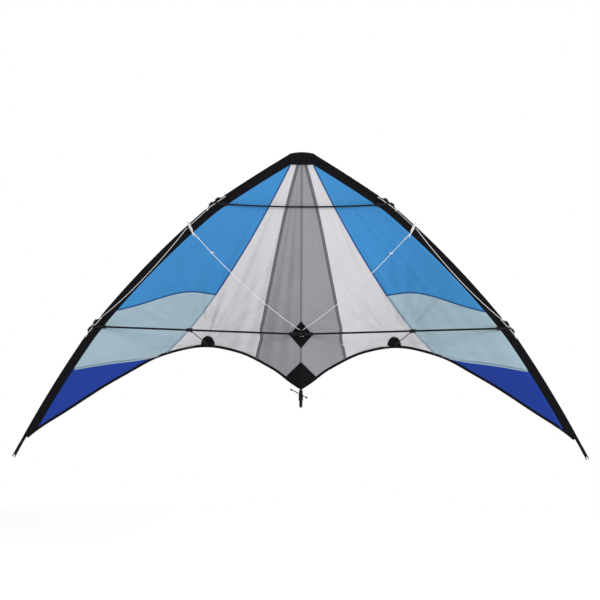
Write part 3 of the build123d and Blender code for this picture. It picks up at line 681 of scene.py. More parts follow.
def make_materials():
    """Every finish, by name."""
    return {
        "grey": ripstop("grey_ripstop", GREY, math.radians(0)),
        "white": ripstop("white_ripstop", WHITE, math.radians(-24), 0.86),
        "blue": ripstop("blue_ripstop", BLUE, math.radians(36)),
        "light_blue": ripstop("light_blue_ripstop", LIGHT_BLUE, math.radians(12), 0.84),
        "deep_blue": ripstop("deep_blue_ripstop", DEEP_BLUE, math.radians(32), gloss=0.12),
        "grey_seam": ripstop("grey_seam_cloth", tinted(GREY, 0.46)[:3], math.radians(12)),
        "blue_seam": ripstop("blue_seam_cloth", (0.006, 0.043, 0.150), math.radians(36), gloss=0.2),
        "light_seam": ripstop("light_seam_cloth", (0.13, 0.20, 0.26), math.radians(12)),
        # the middle strip's darker grey is its seam and also a painted shadow of the spine behind the sail
        "centre_seam": ripstop("painted_spine_shadow_seam_cloth", tinted(GREY, 0.58)[:3], 0.0),
        "sleeve": cloth("sleeve_dacron", BLACK, 0.0011, 0.66),
        "black_cloth": cloth("black_patch_cloth", BLACK, 0.0009, 0.70),
        "hem": cloth("hem_tape", tinted(BLACK, 0.9)[:3], 0.0008, 0.68),
        "webbing": webbing("nose_webbing_weave", BLACK),
        "carbon_across": carbon("carbon_across", (0.005, 0.005, 0.0058), (1, 40, 40)),
        "carbon_upright": carbon("carbon_upright", (0.005, 0.005, 0.0058), (40, 40, 1)),
        "carbon_deep": carbon("carbon_fore_and_aft", (0.005, 0.005, 0.006), (40, 1, 40)),
        "fitting": moulded("moulded_fitting", (0.0048, 0.0048, 0.0055), 0.50),
        "nock": moulded("moulded_nock", (0.0040, 0.0041, 0.0047), 0.46, 0.06),
        "ferrule": metal("drawn_ferrule", (0.55, 0.56, 0.58)),
        "bridle": braid("bridle_braid", (0.62, 0.60, 0.60), 0.0009),
        "tie": braid("tie_braid", (0.005, 0.005, 0.006), 0.0012, 0.06),
        "white_thread": braid("white_thread", (0.55, 0.54, 0.55), 0.0005),
        "grey_thread": braid("grey_thread", (0.075, 0.072, 0.080), 0.0005),
        "blue_thread": braid("blue_thread", (0.010, 0.060, 0.240), 0.0005),
        "black_thread": braid("black_thread", (0.011, 0.011, 0.013), 0.0005, 0.06),
    }


# ---- bridle and ties ---------------------------------------------------------------------

def mirrored(point, side):
    """A right-hand point on the wanted side."""
    return point[0] * side, point[1], point[2]


def route_curve(name, route, diameter=0.0):
    """A smooth NURBS line with the route's points as its control points."""
    data = bpy.data.curves.new(name, "CURVE")
    data.dimensions = "3D"
    spline = data.splines.new("NURBS")
    spline.points.add(len(route) - 1)
    for control, place in zip(spline.points, route):
        control.co = (*place, 1.0)
    spline.order_u = 3
    spline.use_endpoint_u = True
    spline.resolution_u = 12
    data.bevel_depth = diameter / 2
    data.bevel_resolution = 4
    data.use_fill_caps = True
    line = bpy.data.objects.new(name, data)
    bpy.context.scene.collection.objects.link(line)
    return line


def route_points(name, route):
    """The points along a route's smooth line."""
    line = route_curve(name + "_route", route)
    bpy.context.view_layer.update()
    found = bpy.data.meshes.new_from_object(line)
    points = [tuple(v.co) for v in found.vertices]
    bpy.data.meshes.remove(found)
    bpy.data.objects.remove(line)
    return points


def between_points(start, end, share):
    """The point at that share of the way."""
    return tuple(a + (b - a) * share for a, b in zip(start, end))


def shifted(point, shift):
    """A point moved by a small shift."""
    return tuple(a + b for a, b in zip(point, shift))


def hanging(start, end, sag):
    """Control points of a line from start to end whose middle hangs that far below the straight."""
    shares = ((0.0, 0.0), (1 / 6, 2 / 3), (1 / 2, 10 / 9), (5 / 6, 2 / 3), (1.0, 0.0))
    route = []
    for share, drop in shares:
        x, y, z = between_points(start, end, share)
        route.append((x, y, z - sag * drop))
    return route


def on_inner_leg(share, lift=(0, 0, 0)):
    """The point at that share of the way down the right inner leg, with a small shift."""
    x, y, z = between_points(INNER_LEG_START, TOW_POINT, share)
    return x + lift[0], y + lift[1], z - 4 * INNER_LEG_SAG * share * (1 - share) + lift[2]


def coil(centre, axis, radius, pitch, turns, per_turn=14):
    """Points of a helix round an axis, centred on a point."""
    way = Vector(axis).normalized()
    one = way.orthogonal().normalized()
    other = way.cross(one)
    steps = int(turns * per_turn)
    points = []
    for k in range(steps + 1):
        angle = 2 * math.pi * k / per_turn
        along = (k / per_turn - turns / 2) * pitch
        spot = Vector(centre) + way * along
        spot = spot + one * (radius * math.cos(angle)) + other * (radius * math.sin(angle))
        points.append(tuple(spot))
    return points


def knot_points(centre, size, count=60):
    """A small overhand knot: a closed trefoil of line."""
    x, y, z = centre
    points = []
    for t in np.linspace(0, 2 * math.pi, count):
        points.append((
            x + size * (math.sin(t) + 2 * math.sin(2 * t)) / 3,
            y - size * math.sin(3 * t) / 2,
            z + size * (math.cos(t) - 2 * math.cos(2 * t)) / 3,
        ))
    return points


def bridle_side(label, side, finishes):
    """One side's three legs, their tow knot, and the lines that hold the hitches."""
    wing, tow = f"{label}_wing", f"{label}_tow"
    upper_hitch = beside_spar(UPPER_HITCH_AT, 0, HITCH_FRONT)
    lower_hitch = beside_spar(LOWER_HITCH_AT, 0, HITCH_FRONT)
    knot = tow_knot(label, side, finishes)
    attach(knot, tow)
    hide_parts(f"{label}_tow_knot")
    for which, hitch in (("upper", upper_hitch), ("outer", lower_hitch)):
        ends = [between_points(hitch, TOW_POINT, share) for share in (0.009, 0.988)]
        route = [mirrored(p, side) for p in hanging(*ends, LEG_SAGS[which])]
        leg = route_curve(f"{label}_{which}_leg_line", route, BRIDLE_DIAMETER)
        leg.data.materials.append(finishes["bridle"])
        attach(leg, tow)
        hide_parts(f"{label}_bridle_{which}_leg")
    inner_leg(label, side, finishes)
    hitch_lines(label, side, finishes, wing)


# the tow hitch, from the tow point: the middle of its wraps, the way they run, and the loop below
WRAPS_SHIFT = (-0.0045, 0.0005, 0.0015)
WRAPS_WAY = (0.43, 0.06, 0.90)
WRAPS_RADIUS = 0.0026
WRAPS_PITCH = 0.0017
WRAPS_TURNS = 16
TOW_LOOP = [
    (-0.0085, -0.002, -0.0105), (-0.0145, -0.001, -0.0215), (-0.0170, 0.002, -0.0255),
    (-0.0150, 0.003, -0.0235), (-0.0115, 0.001, -0.0165), (-0.0105, 0, -0.0135),
]
# on the inner leg: shares of the way to the tow point, the tag knot's size, and its loose end
WHIPPING_AT = 0.915
TAG_AT = 0.80
TAG_SIZE = 0.0023
TAG_END = (-0.008, -0.001, 0.001)


def tow_knot(label, side, finishes):
    """The wraps of the tow hitch, with the loop the flying line ties to."""
    wraps = coil(shifted(TOW_POINT, WRAPS_SHIFT), WRAPS_WAY, WRAPS_RADIUS, WRAPS_PITCH, WRAPS_TURNS)
    below = [shifted(TOW_POINT, shift) for shift in TOW_LOOP]
    points = [tuple(p) for p in smooth(below + [wraps[0]], 60)[:-1]] + wraps
    return tube(f"{label}_tow_hitch", points, BRIDLE_DIAMETER / 2, finishes["bridle"], side, 8)


def inner_leg(label, side, finishes):
    """The leg from the centre to the tow point, doubled near the tow point, with a tag knot on it."""
    route = hanging(INNER_LEG_START, between_points(INNER_LEG_START, TOW_POINT, 0.992), INNER_LEG_SAG)
    path = route_points(f"{label}_inner_leg", route)
    leg = tube(f"{label}_inner_leg_line", path, BRIDLE_DIAMETER / 2, finishes["bridle"], side)
    join = on_inner_leg(WHIPPING_AT)
    doubled = [
        on_inner_leg(0.996),
        on_inner_leg(0.97, (0.0032, -0.001, 0.0032)),
        on_inner_leg(0.94, (0.0026, -0.001, 0.0026)),
        join,
    ]
    strand = tube(f"{label}_inner_leg_doubling", smooth(doubled, 24), BRIDLE_DIAMETER / 2,
                  finishes["bridle"], side, 8)
    way = Vector(on_inner_leg(0.90)) - Vector(on_inner_leg(0.93))
    whipping = tube(f"{label}_inner_leg_whipping", coil(join, way, 0.0014, 0.0014, 4), 0.0006,
                    finishes["bridle"], side, 8)
    spot = on_inner_leg(TAG_AT)
    tag = knot_points(spot, TAG_SIZE) + [shifted(spot, TAG_END)]
    tagged = tube(f"{label}_tag_knot", tag, BRIDLE_DIAMETER / 2, finishes["bridle"], side, 8)
    pieces = [strand, whipping, tagged]
    for piece in [leg] + pieces:
        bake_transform(piece)
    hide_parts(f"{label}_bridle_inner_leg")


def hitch_lines(label, side, finishes, wing):
    """The lines that run over each connector and stop the hitches from creeping."""
    upper = [
        (0.216, 0.001, -0.0040), (0.223, 0.001, -0.0058), (0.230, 0.001, -0.0076), (0.237, 0.001, -0.0078),
        (0.243, 0.001, -0.0066), (0.249, 0.001, -0.0080), (0.258, 0.000, -0.0080), (0.267, 0.000, -0.0078),
        (0.273, 0.000, -0.0062), (0.279, 0.000, -0.0056),
    ]
    lower_high = [
        (0.701, 0.000, -0.0056), (0.706, 0.001, -0.0066), (0.712, 0.001, -0.0084), (0.719, 0.001, -0.0086),
        (0.725, 0.000, -0.0088), (0.730, -0.004, -0.0080), (0.732, -0.0085, -0.0048), (0.733, -0.0094, 0.000),
        (0.733, -0.0080, 0.0045),
    ]
    lower_low = [
        (0.735, -0.001, -0.0084), (0.742, -0.0015, -0.0086), (0.749, -0.002, -0.0084),
        (0.755, -0.0025, -0.0066), (0.761, -0.002, -0.0050), (0.768, -0.001, -0.0040),
    ]
    for name, stations in (("upper", upper), ("lower_high", lower_high), ("lower_low", lower_low)):
        route = [mirrored(beside_spar(d, inward, y), side) for d, inward, y in stations]
        line = route_curve(f"{label}_{name}_hitch_line", route, BRIDLE_DIAMETER)
        line.data.materials.append(finishes["bridle"])
        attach(line, wing)


def tip_tie(label, side, finishes):
    """The line from the sleeve's end, over the tip notch and back."""
    route = [beside_spar(d, 0, -TIP_TIE_SIDE) for d in TIP_TIE_STATIONS]
    route += [beside_spar(d, 0, y) for d, y in TIP_TIE_TURN]
    route += [beside_spar(d, 0, TIP_TIE_SIDE) for d in reversed(TIP_TIE_STATIONS)]
    route = [mirrored(p, side) for p in route]
    line = route_curve(f"{label}_tip_tie_line", route, TIP_TIE_DIAMETER)
    line.data.materials.append(finishes["tie"])
    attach(line, f"{label}_wing")
    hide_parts(f"{label}_tip_tie")


def tail_tie(finishes):
    """The knotted line through the tail nock."""
    start, end = TAIL_TIE
    ways = [(0, 0, 0), (0, -0.0010, 0.0012), (0, 0, 0), (0, 0, 0.0006), (0, 0, 0)]
    route = [
        shifted(between_points(start, end, share), way)
        for share, way in zip((0.0, 0.22, 0.5, 0.78, 1.0), ways)
    ]
    line = route_curve("tail_tie_line", route, TIE_DIAMETER)
    line.data.materials.append(finishes["tie"])
    knots = [
        tube(f"tail_tie_knot_{name}", knot_points(place, 0.0019), TIE_DIAMETER / 2, finishes["tie"], 1, 8)
        for name, place in (("left", start), ("right", end))
    ]
    for piece in [line] + knots:
        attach(piece, "root")
    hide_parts("tail_tie")


# ---- sail --------------------------------------------------------------------------------

def along_edge(edge, share):
    """The point at a share of an edge's points."""
    steps = np.linspace(0, 1, len(edge))
    return np.array([np.interp(share, steps, edge[:, k]) for k in (0, 1)])


def panel_grid(left, right, top, bottom, across, down):
    """Rows of (x, z) between four edges. Left and right run downwards, top and bottom run outwards."""
    left, right, top, bottom = (np.array(e, float) for e in (left, right, top, bottom))
    rows = []
    for v in np.linspace(0, 1, down):
        row = []
        for u in np.linspace(0, 1, across):
            sides = (1 - u) * along_edge(left, v) + u * along_edge(right, v)
            ends = (1 - v) * along_edge(top, u) + v * along_edge(bottom, u)
            corners = (
                (1 - u) * (1 - v) * top[0] + u * (1 - v) * top[-1]
                + (1 - u) * v * bottom[0] + u * v * bottom[-1]
            )
            row.append(sides + ends - corners)
        rows.append(row)
    return rows


def sleeve_edge(start, end):
    """The sleeve's inner edge between two distances down the spar, a little under its cloth."""
    points = [beside_spar(d, sleeve_reach(d) - 0.002) for d in np.linspace(start, end, 60)]
    return [(x, z) for x, _, z in points]


def hem_edge(start, end):
    """A line inside the hem between two distances from the centre."""
    return [(x, float(hem_top_z(x)) - 0.002) for x in np.linspace(start, end, 60)]


def on_hem(x):
    """The hem's upper edge at a distance from the centre."""
    return x, float(hem_top_z(x))


def seam_lines():
    """The lines where the panels are sewn together, from the nose downwards or outwards."""
    white_hem = on_hem(WHITE_HEM_X)
    return {
        "grey": smooth(GREY_SEAM + [on_hem(GREY_HEM_X)]),
        "white": smooth(WHITE_SEAM + [WHITE_SEAM_LOW, white_hem]),
        "white_high": smooth(WHITE_SEAM),
        "white_low": smooth([WHITE_SEAM[-1], WHITE_SEAM_LOW, white_hem]),
        "arc": smooth(ARC_SEAM + [sleeve_edge(ARC_SEAM_AT, ARC_SEAM_AT + 0.001)[0]]),
        "tip": smooth([on_hem(LIGHT_HEM_X)] + TIP_SEAM + [sleeve_edge(TIP_SEAM_AT, TIP_SEAM_AT + 0.001)[0]]),
    }


def sail_panels():
    """The grid of each of the five panels of a half sail."""
    seams = seam_lines()
    centre = [(0.0, SAIL_TOP), (0.0, float(hem_top_z(0.0)) - 0.002)]
    blue_top = sleeve_edge(BLUE_TOP_AT, BLUE_TOP_AT + 0.001)[0]
    tip_row = hem_edge(WHITE_HEM_X, LIGHT_HEM_X)[::12] + [tuple(p) for p in seams["tip"][4:]]
    return {
        "grey": panel_grid(centre, seams["grey"], [centre[0], GREY_SEAM[0]],
                           hem_edge(0.0, GREY_HEM_X), 34, 130),
        "white": panel_grid(seams["grey"], seams["white"], [GREY_SEAM[0], WHITE_SEAM[0]],
                            hem_edge(GREY_HEM_X, WHITE_HEM_X), 52, 100),
        "blue": panel_grid(seams["white_high"], sleeve_edge(BLUE_TOP_AT, ARC_SEAM_AT),
                           [WHITE_SEAM[0], blue_top], seams["arc"], 56, 80),
        "light_blue": panel_grid(seams["white_low"], sleeve_edge(ARC_SEAM_AT, TIP_SEAM_AT),
                                 seams["arc"], tip_row, 60, 44),
        "deep_blue": panel_grid(hem_edge(LIGHT_HEM_X, DEEP_TIP_X), sleeve_edge(TIP_SEAM_AT, DEEP_TIP_AT),
                                seams["tip"],
                                [hem_edge(DEEP_TIP_X, 0.71)[0], sleeve_edge(DEEP_TIP_AT, 1.03)[0]], 40, 60),
    }


# Both measured on the panel's own mesh.
HUB_HOLE = (0.009, 0.016)


def sail_side(label, side, finishes):
    """One half of the sail: panels, lapped seams, their stitching, and the hem."""
    wing = f"{label}_wing"
    for name, rows in sail_panels().items():
        points = [(p[0], cloth_y(p[0], p[1], side), p[1]) for row in rows for p in row]
        faces = grid_faces(len(rows), len(rows[0]))
        if name == "grey":
            points, faces = with_hole(points, faces)
        piece = add_mesh(f"{label}_{name}_cloth", points, faces, finishes[name], side)
        thicken(piece, CLOTH_THICKNESS)
        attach(piece, wing)
        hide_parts(f"{label}_{name}_panel")
    seams(label, side, finishes, wing)
    hem(label, side, finishes, wing)


def with_hole(points, faces):
    """The grey panel with the opening that the centre fitting passes through."""
    shape = bmesh.new()
    made = [shape.verts.new(p) for p in points]
    for f in faces:
        shape.faces.new([made[i] for i in f])
    open_hole(shape, HUB_HOLE)
    return points_and_faces(shape)


def strip(name, line, width, side, material, lift):
    """A strip of cloth along a line on the sail's front."""
    middle = evenly(line, 0.005)
    ways = unit_ways(middle)
    points = []
    for (x, z), way in zip(middle, ways):
        for offset in np.linspace(-width / 2, width / 2, 5):
            px, pz = x + offset * way[1], z - offset * way[0]
            px = max(px, 0.0)
            points.append((px, cloth_y(px, pz, side) - lift, pz))
    piece = add_mesh(name, points, grid_faces(len(middle), 5), material, side)
    thicken(piece, SEAM_THICKNESS)
    return piece


def clear_of_sleeve(line):
    """The part of a seam's line that the sleeve doesn't cover."""
    top = np.interp(line[:, 0], CLOTH_EDGE[:, 0], CLOTH_EDGE[:, 2])
    return line[line[:, 1] < top - 0.0006]


MIDDLE_SEAM_AND_SHADOW_X = 0.00125
TIP_SEAM_EDGE_DROP = 0.0024
OVER_LIFT = SEAM_LIFT + 0.0002
THREAD_LIFT = SEAM_LIFT + 0.0003
OVER_THREAD_LIFT = SEAM_LIFT + 0.0005
# name, line, width, finish, slot, lift
SEAM_STRIPS = [
    ("grey_seam", "grey", 0.0085, "grey_seam", "grey_ripstop", SEAM_LIFT),
    ("white_seam", "white_high", 0.0036, "blue_seam", "blue_ripstop", SEAM_LIFT),
    ("light_seam", "white_low", 0.0032, "light_seam", "light_blue_ripstop", SEAM_LIFT),
    ("arc_seam", "arc", 0.0032, "blue_seam", "blue_ripstop", OVER_LIFT),
    ("tip_seam", "tip", 0.0021, "light_seam", "light_blue_ripstop", OVER_LIFT),
    ("tip_seam_edge", "tip_edge", 0.0026, "light_blue", "light_blue_ripstop", SEAM_LIFT),
    ("centre_seam", "centre", 0.0025, "centre_seam", "grey_ripstop", SEAM_LIFT),
]
# name, line, half width, finish, lift
SEAM_ZIGZAGS = [
    ("grey", "grey", 0.0022, "grey_thread", THREAD_LIFT),
    ("white", "white_high", 0.0012, "blue_thread", THREAD_LIFT),
    ("light", "white_low", 0.0011, "grey_thread", THREAD_LIFT),
    ("arc", "arc", 0.0011, "blue_thread", OVER_THREAD_LIFT),
    ("tip", "tip", 0.0008, "grey_thread", OVER_THREAD_LIFT),
]


def seams(label, side, finishes, wing):
    """The lapped seams between panels, with a zigzag row down each."""
    lines = {name: clear_of_sleeve(line) for name, line in seam_lines().items()}
    # the strip down the middle: a seam, darkened also as a painted shadow of the spine behind the sail
    lines["centre"] = [(MIDDLE_SEAM_AND_SHADOW_X, SAIL_TOP), (MIDDLE_SEAM_AND_SHADOW_X, float(hem_top_z(0.0)))]
    below_tip = lines["tip"] - np.array([0.0, TIP_SEAM_EDGE_DROP])
    lines["tip_edge"] = below_tip[below_tip[:, 0] > LIGHT_HEM_X + 0.004]
    made = []
    for name, line, width, finish, slot, lift in SEAM_STRIPS:
        piece = strip(f"{label}_{name}", lines[line], width, side, finishes[finish], lift)
        made.append((piece, slot))
    for name, line, half, finish, lift in SEAM_ZIGZAGS:
        stitches = zigzag(lines[line], side, half, lift=lift)
        piece = join_stitches(f"{label}_{name}_seam_stitching", stitches, finishes[finish], side)
        made.append((piece, "grey_ripstop"))
    for piece, slot in made:
        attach(piece, wing)


def hem(label, side, finishes, wing):
    """The tape folded round the trailing edge, with a row of stitches."""
    around = [
        (-0.0004, 0.0), (0.0, -0.00075), (0.0009, -0.0010), (0.0028, -0.0009), (HEM_TAPE_WIDTH, -0.0008),
        (HEM_TAPE_WIDTH, 0.0008), (0.0028, 0.0009), (0.0009, 0.0010), (0.0, 0.00075),
    ]
    edge = evenly([(0.0, trailing_z(0.0))] + [tuple(p) for p in TRAILING[1:] if p[0] < 0.758], 0.006)
    ways = unit_ways(edge)
    points, rows = [], []
    for (x, z), way in zip(edge, ways):
        for up, back in around:
            px, pz = max(0.0, x - up * way[1]), z + up * way[0]
            points.append((px, cloth_y(px, pz, side) + back, pz))
        px, pz = max(0.0, x - 0.0050 * way[1]), z + 0.0050 * way[0]
        rows.append((px, cloth_y(px, pz, side) - 0.0011, pz))
    faces = capped_faces(len(edge), len(around))
    piece = add_mesh(f"{label}_hem_tape", points, faces, finishes["hem"], side)
    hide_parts(f"{label}_trailing_hem")
    thread = join_stitches(f"{label}_hem_stitching", running(rows), finishes["black_thread"], side)
    for made in (piece, thread):
        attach(made, wing)


# ---- sleeve, patches and webbing ---------------------------------------------------------

POCKET_INNER_REACH = 0.011
POCKET_LEAST_GAP = 0.0001
SLEEVE_LEAST_REACH = 0.0045
# how the sleeve narrows to the tip: its reach there, its slope, and how far before the end it closes
SLEEVE_TIP_REACH = 0.0048
SLEEVE_TIP_SLOPE = 0.60
SLEEVE_CLOSED_BEFORE = 0.008
SLEEVE_FLAT_HALF = 0.0007
SLEEVE_POCKET_TO = 0.0120


def sleeve_half_depth(inward):
    """Half the sleeve's thickness: round over the spar, then closing to its flat seam."""
    if inward <= 0:
        return math.sqrt(max(SLEEVE_RADIUS**2 - inward**2, 0.0))
    share = min(1.0, inward / SLEEVE_POCKET_TO)
    eased = share * share * (3 - 2 * share)
    return SLEEVE_RADIUS * (1 - eased) + SLEEVE_FLAT_HALF * eased


def widest(distance):
    """How far inward the sleeve reaches there before the trailing edge cuts it off."""
    to_close = max(0.0, SLEEVE_END - SLEEVE_CLOSED_BEFORE - distance)
    closing = SLEEVE_TIP_REACH + SLEEVE_TIP_SLOPE * to_close
    for inward in np.linspace(min(sleeve_reach(distance), closing), SLEEVE_LEAST_REACH, 42):
        x, _, z = beside_spar(distance, inward)
        if z >= trailing_z(x) - 0.0005:
            return inward
    return SLEEVE_LEAST_REACH


def sleeve_loop(distance, start, pocket):
    """The sleeve's outline across the spar, from its inner edge round and back: (inward, y) pairs."""
    reach = widest(distance)
    if pocket:
        bulge = [-SLEEVE_RADIUS * math.cos(a) for a in np.linspace(0, math.pi / 2, 7)]
        flat = list(np.linspace(0, reach, 13)[1:])
        stations = bulge + flat
    else:
        stations = list(np.linspace(start, reach, 12))
    front = [
        (n, -max(sleeve_half_depth(n), SLEEVE_FLAT_HALF) if n > -SLEEVE_RADIUS else 0.0)
        for n in stations
    ]
    back = [(n, -y) for n, y in reversed(front[1:] if pocket else front)]
    return front + back


def sleeve_stretch(name, start, end, pocket, material, side):
    """A stretch of the sleeve as a closed skin."""
    stations = np.linspace(start, end, max(3, int((end - start) / 0.008)))
    rows = []
    for distance in stations:
        rows.append([beside_spar(distance, n, y) for n, y in sleeve_loop(distance, WINDOW_DEPTH, pocket)])
    size = len(rows[0])
    points = [p for row in rows for p in row]
    if not pocket:
        return add_mesh(name, points, capped_faces(len(rows), size), material, side)
    faces = grid_faces(len(rows), size, closed=True)
    skin = 0.0005
    inner = []
    for distance in stations:
        loop = sleeve_loop(distance, WINDOW_DEPTH, pocket)
        inner.append([
            beside_spar(distance, n + skin if n < 0 else min(n, POCKET_INNER_REACH),
                        math.copysign(max(abs(y) - skin, POCKET_LEAST_GAP), y))
            for n, y in loop
        ])
    base = len(points)
    points += [p for row in inner for p in row]
    faces += [tuple(base + i for i in reversed(f)) for f in grid_faces(len(rows), size, closed=True)]
    last = (len(rows) - 1) * size
    for k in range(size):
        after = (k + 1) % size
        faces.append((after, k, base + k, base + after))
        faces.append((last + k, last + after, base + last + after, base + last + k))
    return add_mesh(name, points, faces, material, side)


def sleeve_side(label, side, finishes):
    """The leading edge sleeve, open at both connectors, with its two rows of stitching."""
    wing = f"{label}_wing"
    windows = [
        (at - half - WINDOW_MARGIN, at + half + WINDOW_MARGIN)
        for at, half in (UPPER_CONNECTOR, LOWER_CONNECTOR)
    ]
    stretches = [
        ("nose", 0.0, windows[0][0], True), ("upper_opening", *windows[0], False),
        ("middle", windows[0][1], windows[1][0], True), ("lower_opening", *windows[1], False),
        ("outer", windows[1][1], SLEEVE_GATHERED_END, True),
    ]
    pieces = [
        sleeve_stretch(f"{label}_sleeve_{name}", start, end, pocket, finishes["sleeve"], side)
        for name, start, end, pocket in stretches
    ]
    rows = []
    for from_edge in (0.0110, 0.0025):
        line = [beside_spar(d, sleeve_reach(d) - from_edge, -0.0010) for d in np.linspace(0.03, 1.0, 240)]
        rows += running(line)
    stitching = join_stitches(f"{label}_sleeve_stitching", rows, finishes["black_thread"], side, 0.00028)
    for piece in pieces + [stitching]:
        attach(piece, wing)
    for piece in pieces:
        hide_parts(f"{label}_leading_edge_sleeve")


def patches_side(label, side, finishes):
    """The diamond, tail and stand-off patches on one half, with a row of stitches round each."""
    wing = f"{label}_wing"
    black = finishes["black_cloth"]
    diamond = cut_sheet(f"{label}_diamond_patch", DIAMOND, side, PATCH_LIFT, black, hole=(0.0054, 0.0074))
    low = [(x, float(hem_top_z(x)) - 0.001) for x in np.linspace(TAIL_PATCH_SIDE[0], 0, 9)]
    tail_outline = [(0, TAIL_PATCH_TOP), TAIL_PATCH_SIDE] + low[1:]
    tail = cut_sheet(f"{label}_tail_patch_cloth", tail_outline, side, PATCH_LIFT, black)
    base = float(hem_top_z(STANDOFF_PATCH_X)) + 0.0004
    dome_line = [
        (STANDOFF_PATCH_X + STANDOFF_PATCH_HALF * math.cos(a),
         base + (STANDOFF_PATCH_TOP - base) * abs(math.sin(a)) ** 1.12)
        for a in np.linspace(0, math.pi, 25)
    ]
    dome = cut_sheet(f"{label}_standoff_patch_cloth", dome_line, side, PATCH_LIFT, black, 0.004)
    threads = []
    for outline in (inset(DIAMOND, 0.0030), inset(tail_outline[:2], 0.0030), inset(dome_line, 0.0025)):
        line = evenly(outline, 0.002)
        row = [(x, cloth_y(x, z, side) - PATCH_LIFT - 0.0005, z) for x, z in line]
        threads += running(row, 0.0022, 0.0007)
    stitching = join_stitches(f"{label}_patch_stitching", threads, finishes["black_thread"], side)
    for patch, node in ((diamond, "centre_patch"), (tail, "tail_patch")):
        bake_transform(patch)
        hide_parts(node)
    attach(dome, wing)
    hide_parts(f"{label}_standoff_patch")
    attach(stitching, wing)


def inset(line, amount):
    """A line moved to its inner side, taken clockwise round the patch."""
    points = evenly(line, 0.002)
    ways = unit_ways(points)
    middle = points.mean(axis=0)
    moved = []
    for point, way in zip(points, ways):
        across = np.array([way[1], -way[0]])
        if across @ (middle - point) < 0:
            across = -across
        moved.append(point + across * amount)
    return [tuple(p) for p in moved if p[0] > 0.001]


def nose_side(label, side, finishes):
    """Half of the webbing folded over the nose."""
    depth = (NOSE_BACK - NOSE_FRONT) / 2
    middle = (NOSE_BACK + NOSE_FRONT) / 2
    shoulder = NOSE_TOP - NOSE_SHOULDER
    fold_line = [(NOSE_FRONT, z) for z in np.linspace(NOSE_BOTTOM, shoulder, 8)]
    fold_line += [
        (middle - depth * math.cos(a), shoulder + (NOSE_TOP - shoulder) * math.sin(a))
        for a in np.linspace(0, math.pi, 13)[1:-1]
    ]
    fold_line += [(NOSE_BACK, z) for z in np.linspace(shoulder, NOSE_BOTTOM, 8)]
    columns = np.linspace(0, NOSE_HALF, 15)
    points = []
    for y, z in fold_line:
        for x in columns:
            up = (z - NOSE_BOTTOM) / (NOSE_TOP - NOSE_BOTTOM)
            drop = NOSE_SIDE_DROP * (x / NOSE_HALF) ** 2 * max(0.0, up)
            rise = NOSE_CORNER_RISE * (x / NOSE_HALF) ** 4 * max(0.0, 1 - (z - NOSE_BOTTOM) / 0.01)
            points.append((x, y, z - drop + rise))
    strap = add_mesh(f"{label}_nose_strap", points, grid_faces(len(fold_line), len(columns)),
                     finishes["webbing"], side)
    thicken(strap, 0.0008)
    front = NOSE_FRONT - 0.0006
    box = [(0.002, front, 0.4735), (0.0315, front, 0.4745), (0.0315, front, 0.4965), (0.002, front, 0.4975)]
    cross = [(0.003, front, 0.475), (0.0305, front, 0.4955)]
    rows = running(box, 0.0024, 0.0008) + running(cross, 0.0024, 0.0008)
    stitching = join_stitches(f"{label}_nose_stitching", rows, finishes["black_thread"], side, 0.0003)
    for piece in (strap, stitching):
        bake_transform(piece)
    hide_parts("nose_webbing")


def upper_spreader_side(label, side, finishes):
    """Half of the bowed rod."""
    line = [
        (x, SPREADER_Y, UPPER_SPREADER_Z + x**2 / (2 * UPPER_SPREADER_BEND))
        for x in np.linspace(0, UPPER_SPREADER_END, 70)
    ]
    rod = tube(f"{label}_upper_spreader_half", line, UPPER_SPREADER_RADIUS,
               finishes["carbon_across"], side, 16)
    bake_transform(rod)
    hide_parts("upper_spreader")


def centre_stitches(finishes):
    """Two white stitches that hold the centre fitting to its patch."""
    front = -0.0116
    rows = [
        ((-0.0034, front, -0.0060), (-0.0006, front, -0.0056)),
        ((0.0042, front, -0.0056), (0.0070, front, -0.0060)),
    ]
    piece = join_stitches("centre_fitting_stitches", rows, finishes["white_thread"], 1, 0.0006)
    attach(piece, "root")


# ---- CAD nodes' finishes -----------------------------------------------------------------

def paint_frame(finishes):
    """Finishes for the CAD nodes that stay."""
    centre = {"spine": "carbon_upright", "centre_hub": "fitting", "tail_nock": "nock"}
    sided = {
        "upper_spar": "carbon_across", "lower_spar": "carbon_across", "spar_ferrule": "ferrule",
        "upper_connector": "fitting", "lower_connector": "fitting", "connector_stops": "fitting",
        "tip_nock": "nock", "spreader_arm": "fitting", "lower_spreader": "carbon_across",
        "bridle_hitches": "bridle", "standoff_cup": "fitting", "standoff_clip": "fitting",
        "standoff_rod": "carbon_deep",
    }
    for label in SIDES:
        centre.update({f"{label}_{node}": finish for node, finish in sided.items()})
    for node, finish in centre.items():
        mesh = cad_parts[node].data
        mesh.materials.clear()
        mesh.materials.append(finishes[finish])


# ---- stage -------------------------------------------------------------------------------

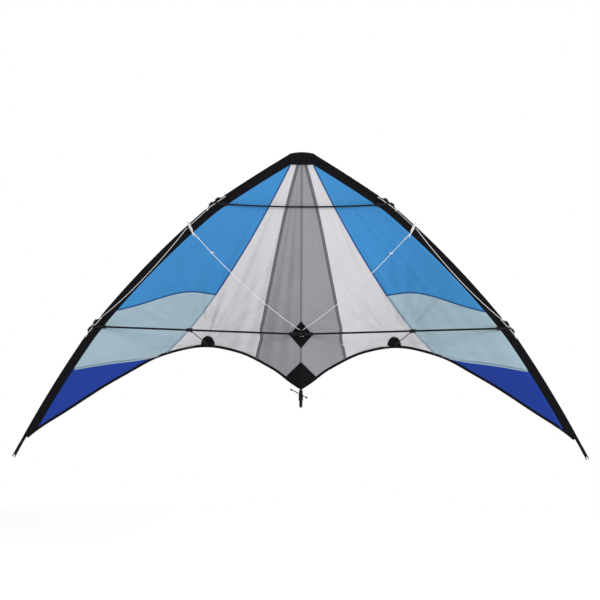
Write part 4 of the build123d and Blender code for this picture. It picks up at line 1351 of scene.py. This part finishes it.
FLOOR_RADIUS = 3.0
FLOOR_Z = -0.76


def make_stage():
    """A pale floor, white surroundings and soft lights, with the stronger one to the right."""
    scene = bpy.context.scene
    scene.view_settings.view_transform = "Standard"
    world = bpy.data.worlds.new("studio")
    world.use_nodes = True
    sky = world.node_tree.nodes["Background"]
    sky.inputs["Color"].default_value = (1.0, 1.0, 1.0, 1.0)
    sky.inputs["Strength"].default_value = 1.0
    scene.world = world
    material, tree, shader = new_material("floor_paint", Roughness=0.8, Specular_IOR_Level=0.1)
    place, _ = object_place(tree)
    speckle = soft_noise(tree, place, 3.0, 3.0)
    finish_shader(tree, shader, blend_colours(tree, speckle, tinted((0.93,) * 3, 1), tinted((0.97,) * 3, 1)),
                  speckle, 0.05, 0.001)
    turns = np.linspace(0, 2 * math.pi, 96, endpoint=False)
    rim = [(FLOOR_RADIUS * math.cos(a), FLOOR_RADIUS * math.sin(a), FLOOR_Z) for a in turns]
    floor = add_mesh("floor", rim, [tuple(range(96))], material)
    add_light("key", (1.9, -3.0, 1.2), (0.2, 0, 0.1), 1.2, 80)
    add_light("fill", (-1.9, -3.2, 0.9), (-0.2, 0, 0.1), 1.2, 20)


def add_light(name, place, target, size, power):
    """A soft square light aimed at a point."""
    data = bpy.data.lights.new(name, "AREA")
    data.size = size
    data.energy = power
    lamp = bpy.data.objects.new(name, data)
    lamp.location = place
    lamp.rotation_euler = (Vector(target) - Vector(place)).to_track_quat("-Z", "Y").to_euler()
    bpy.context.scene.collection.objects.link(lamp)


# ---- assembly ----------------------------------------------------------------------------

def build():
    """Everything, camera and cords first."""
    make_camera()
    finishes = make_materials()
    for label, side in SIDES.items():
        bridle_side(label, side, finishes)
        tip_tie(label, side, finishes)
    tail_tie(finishes)
    for label, side in SIDES.items():
        sail_side(label, side, finishes)
        sleeve_side(label, side, finishes)
        patches_side(label, side, finishes)
        nose_side(label, side, finishes)
        upper_spreader_side(label, side, finishes)
    centre_stitches(finishes)
    paint_frame(finishes)
    make_stage()


build()
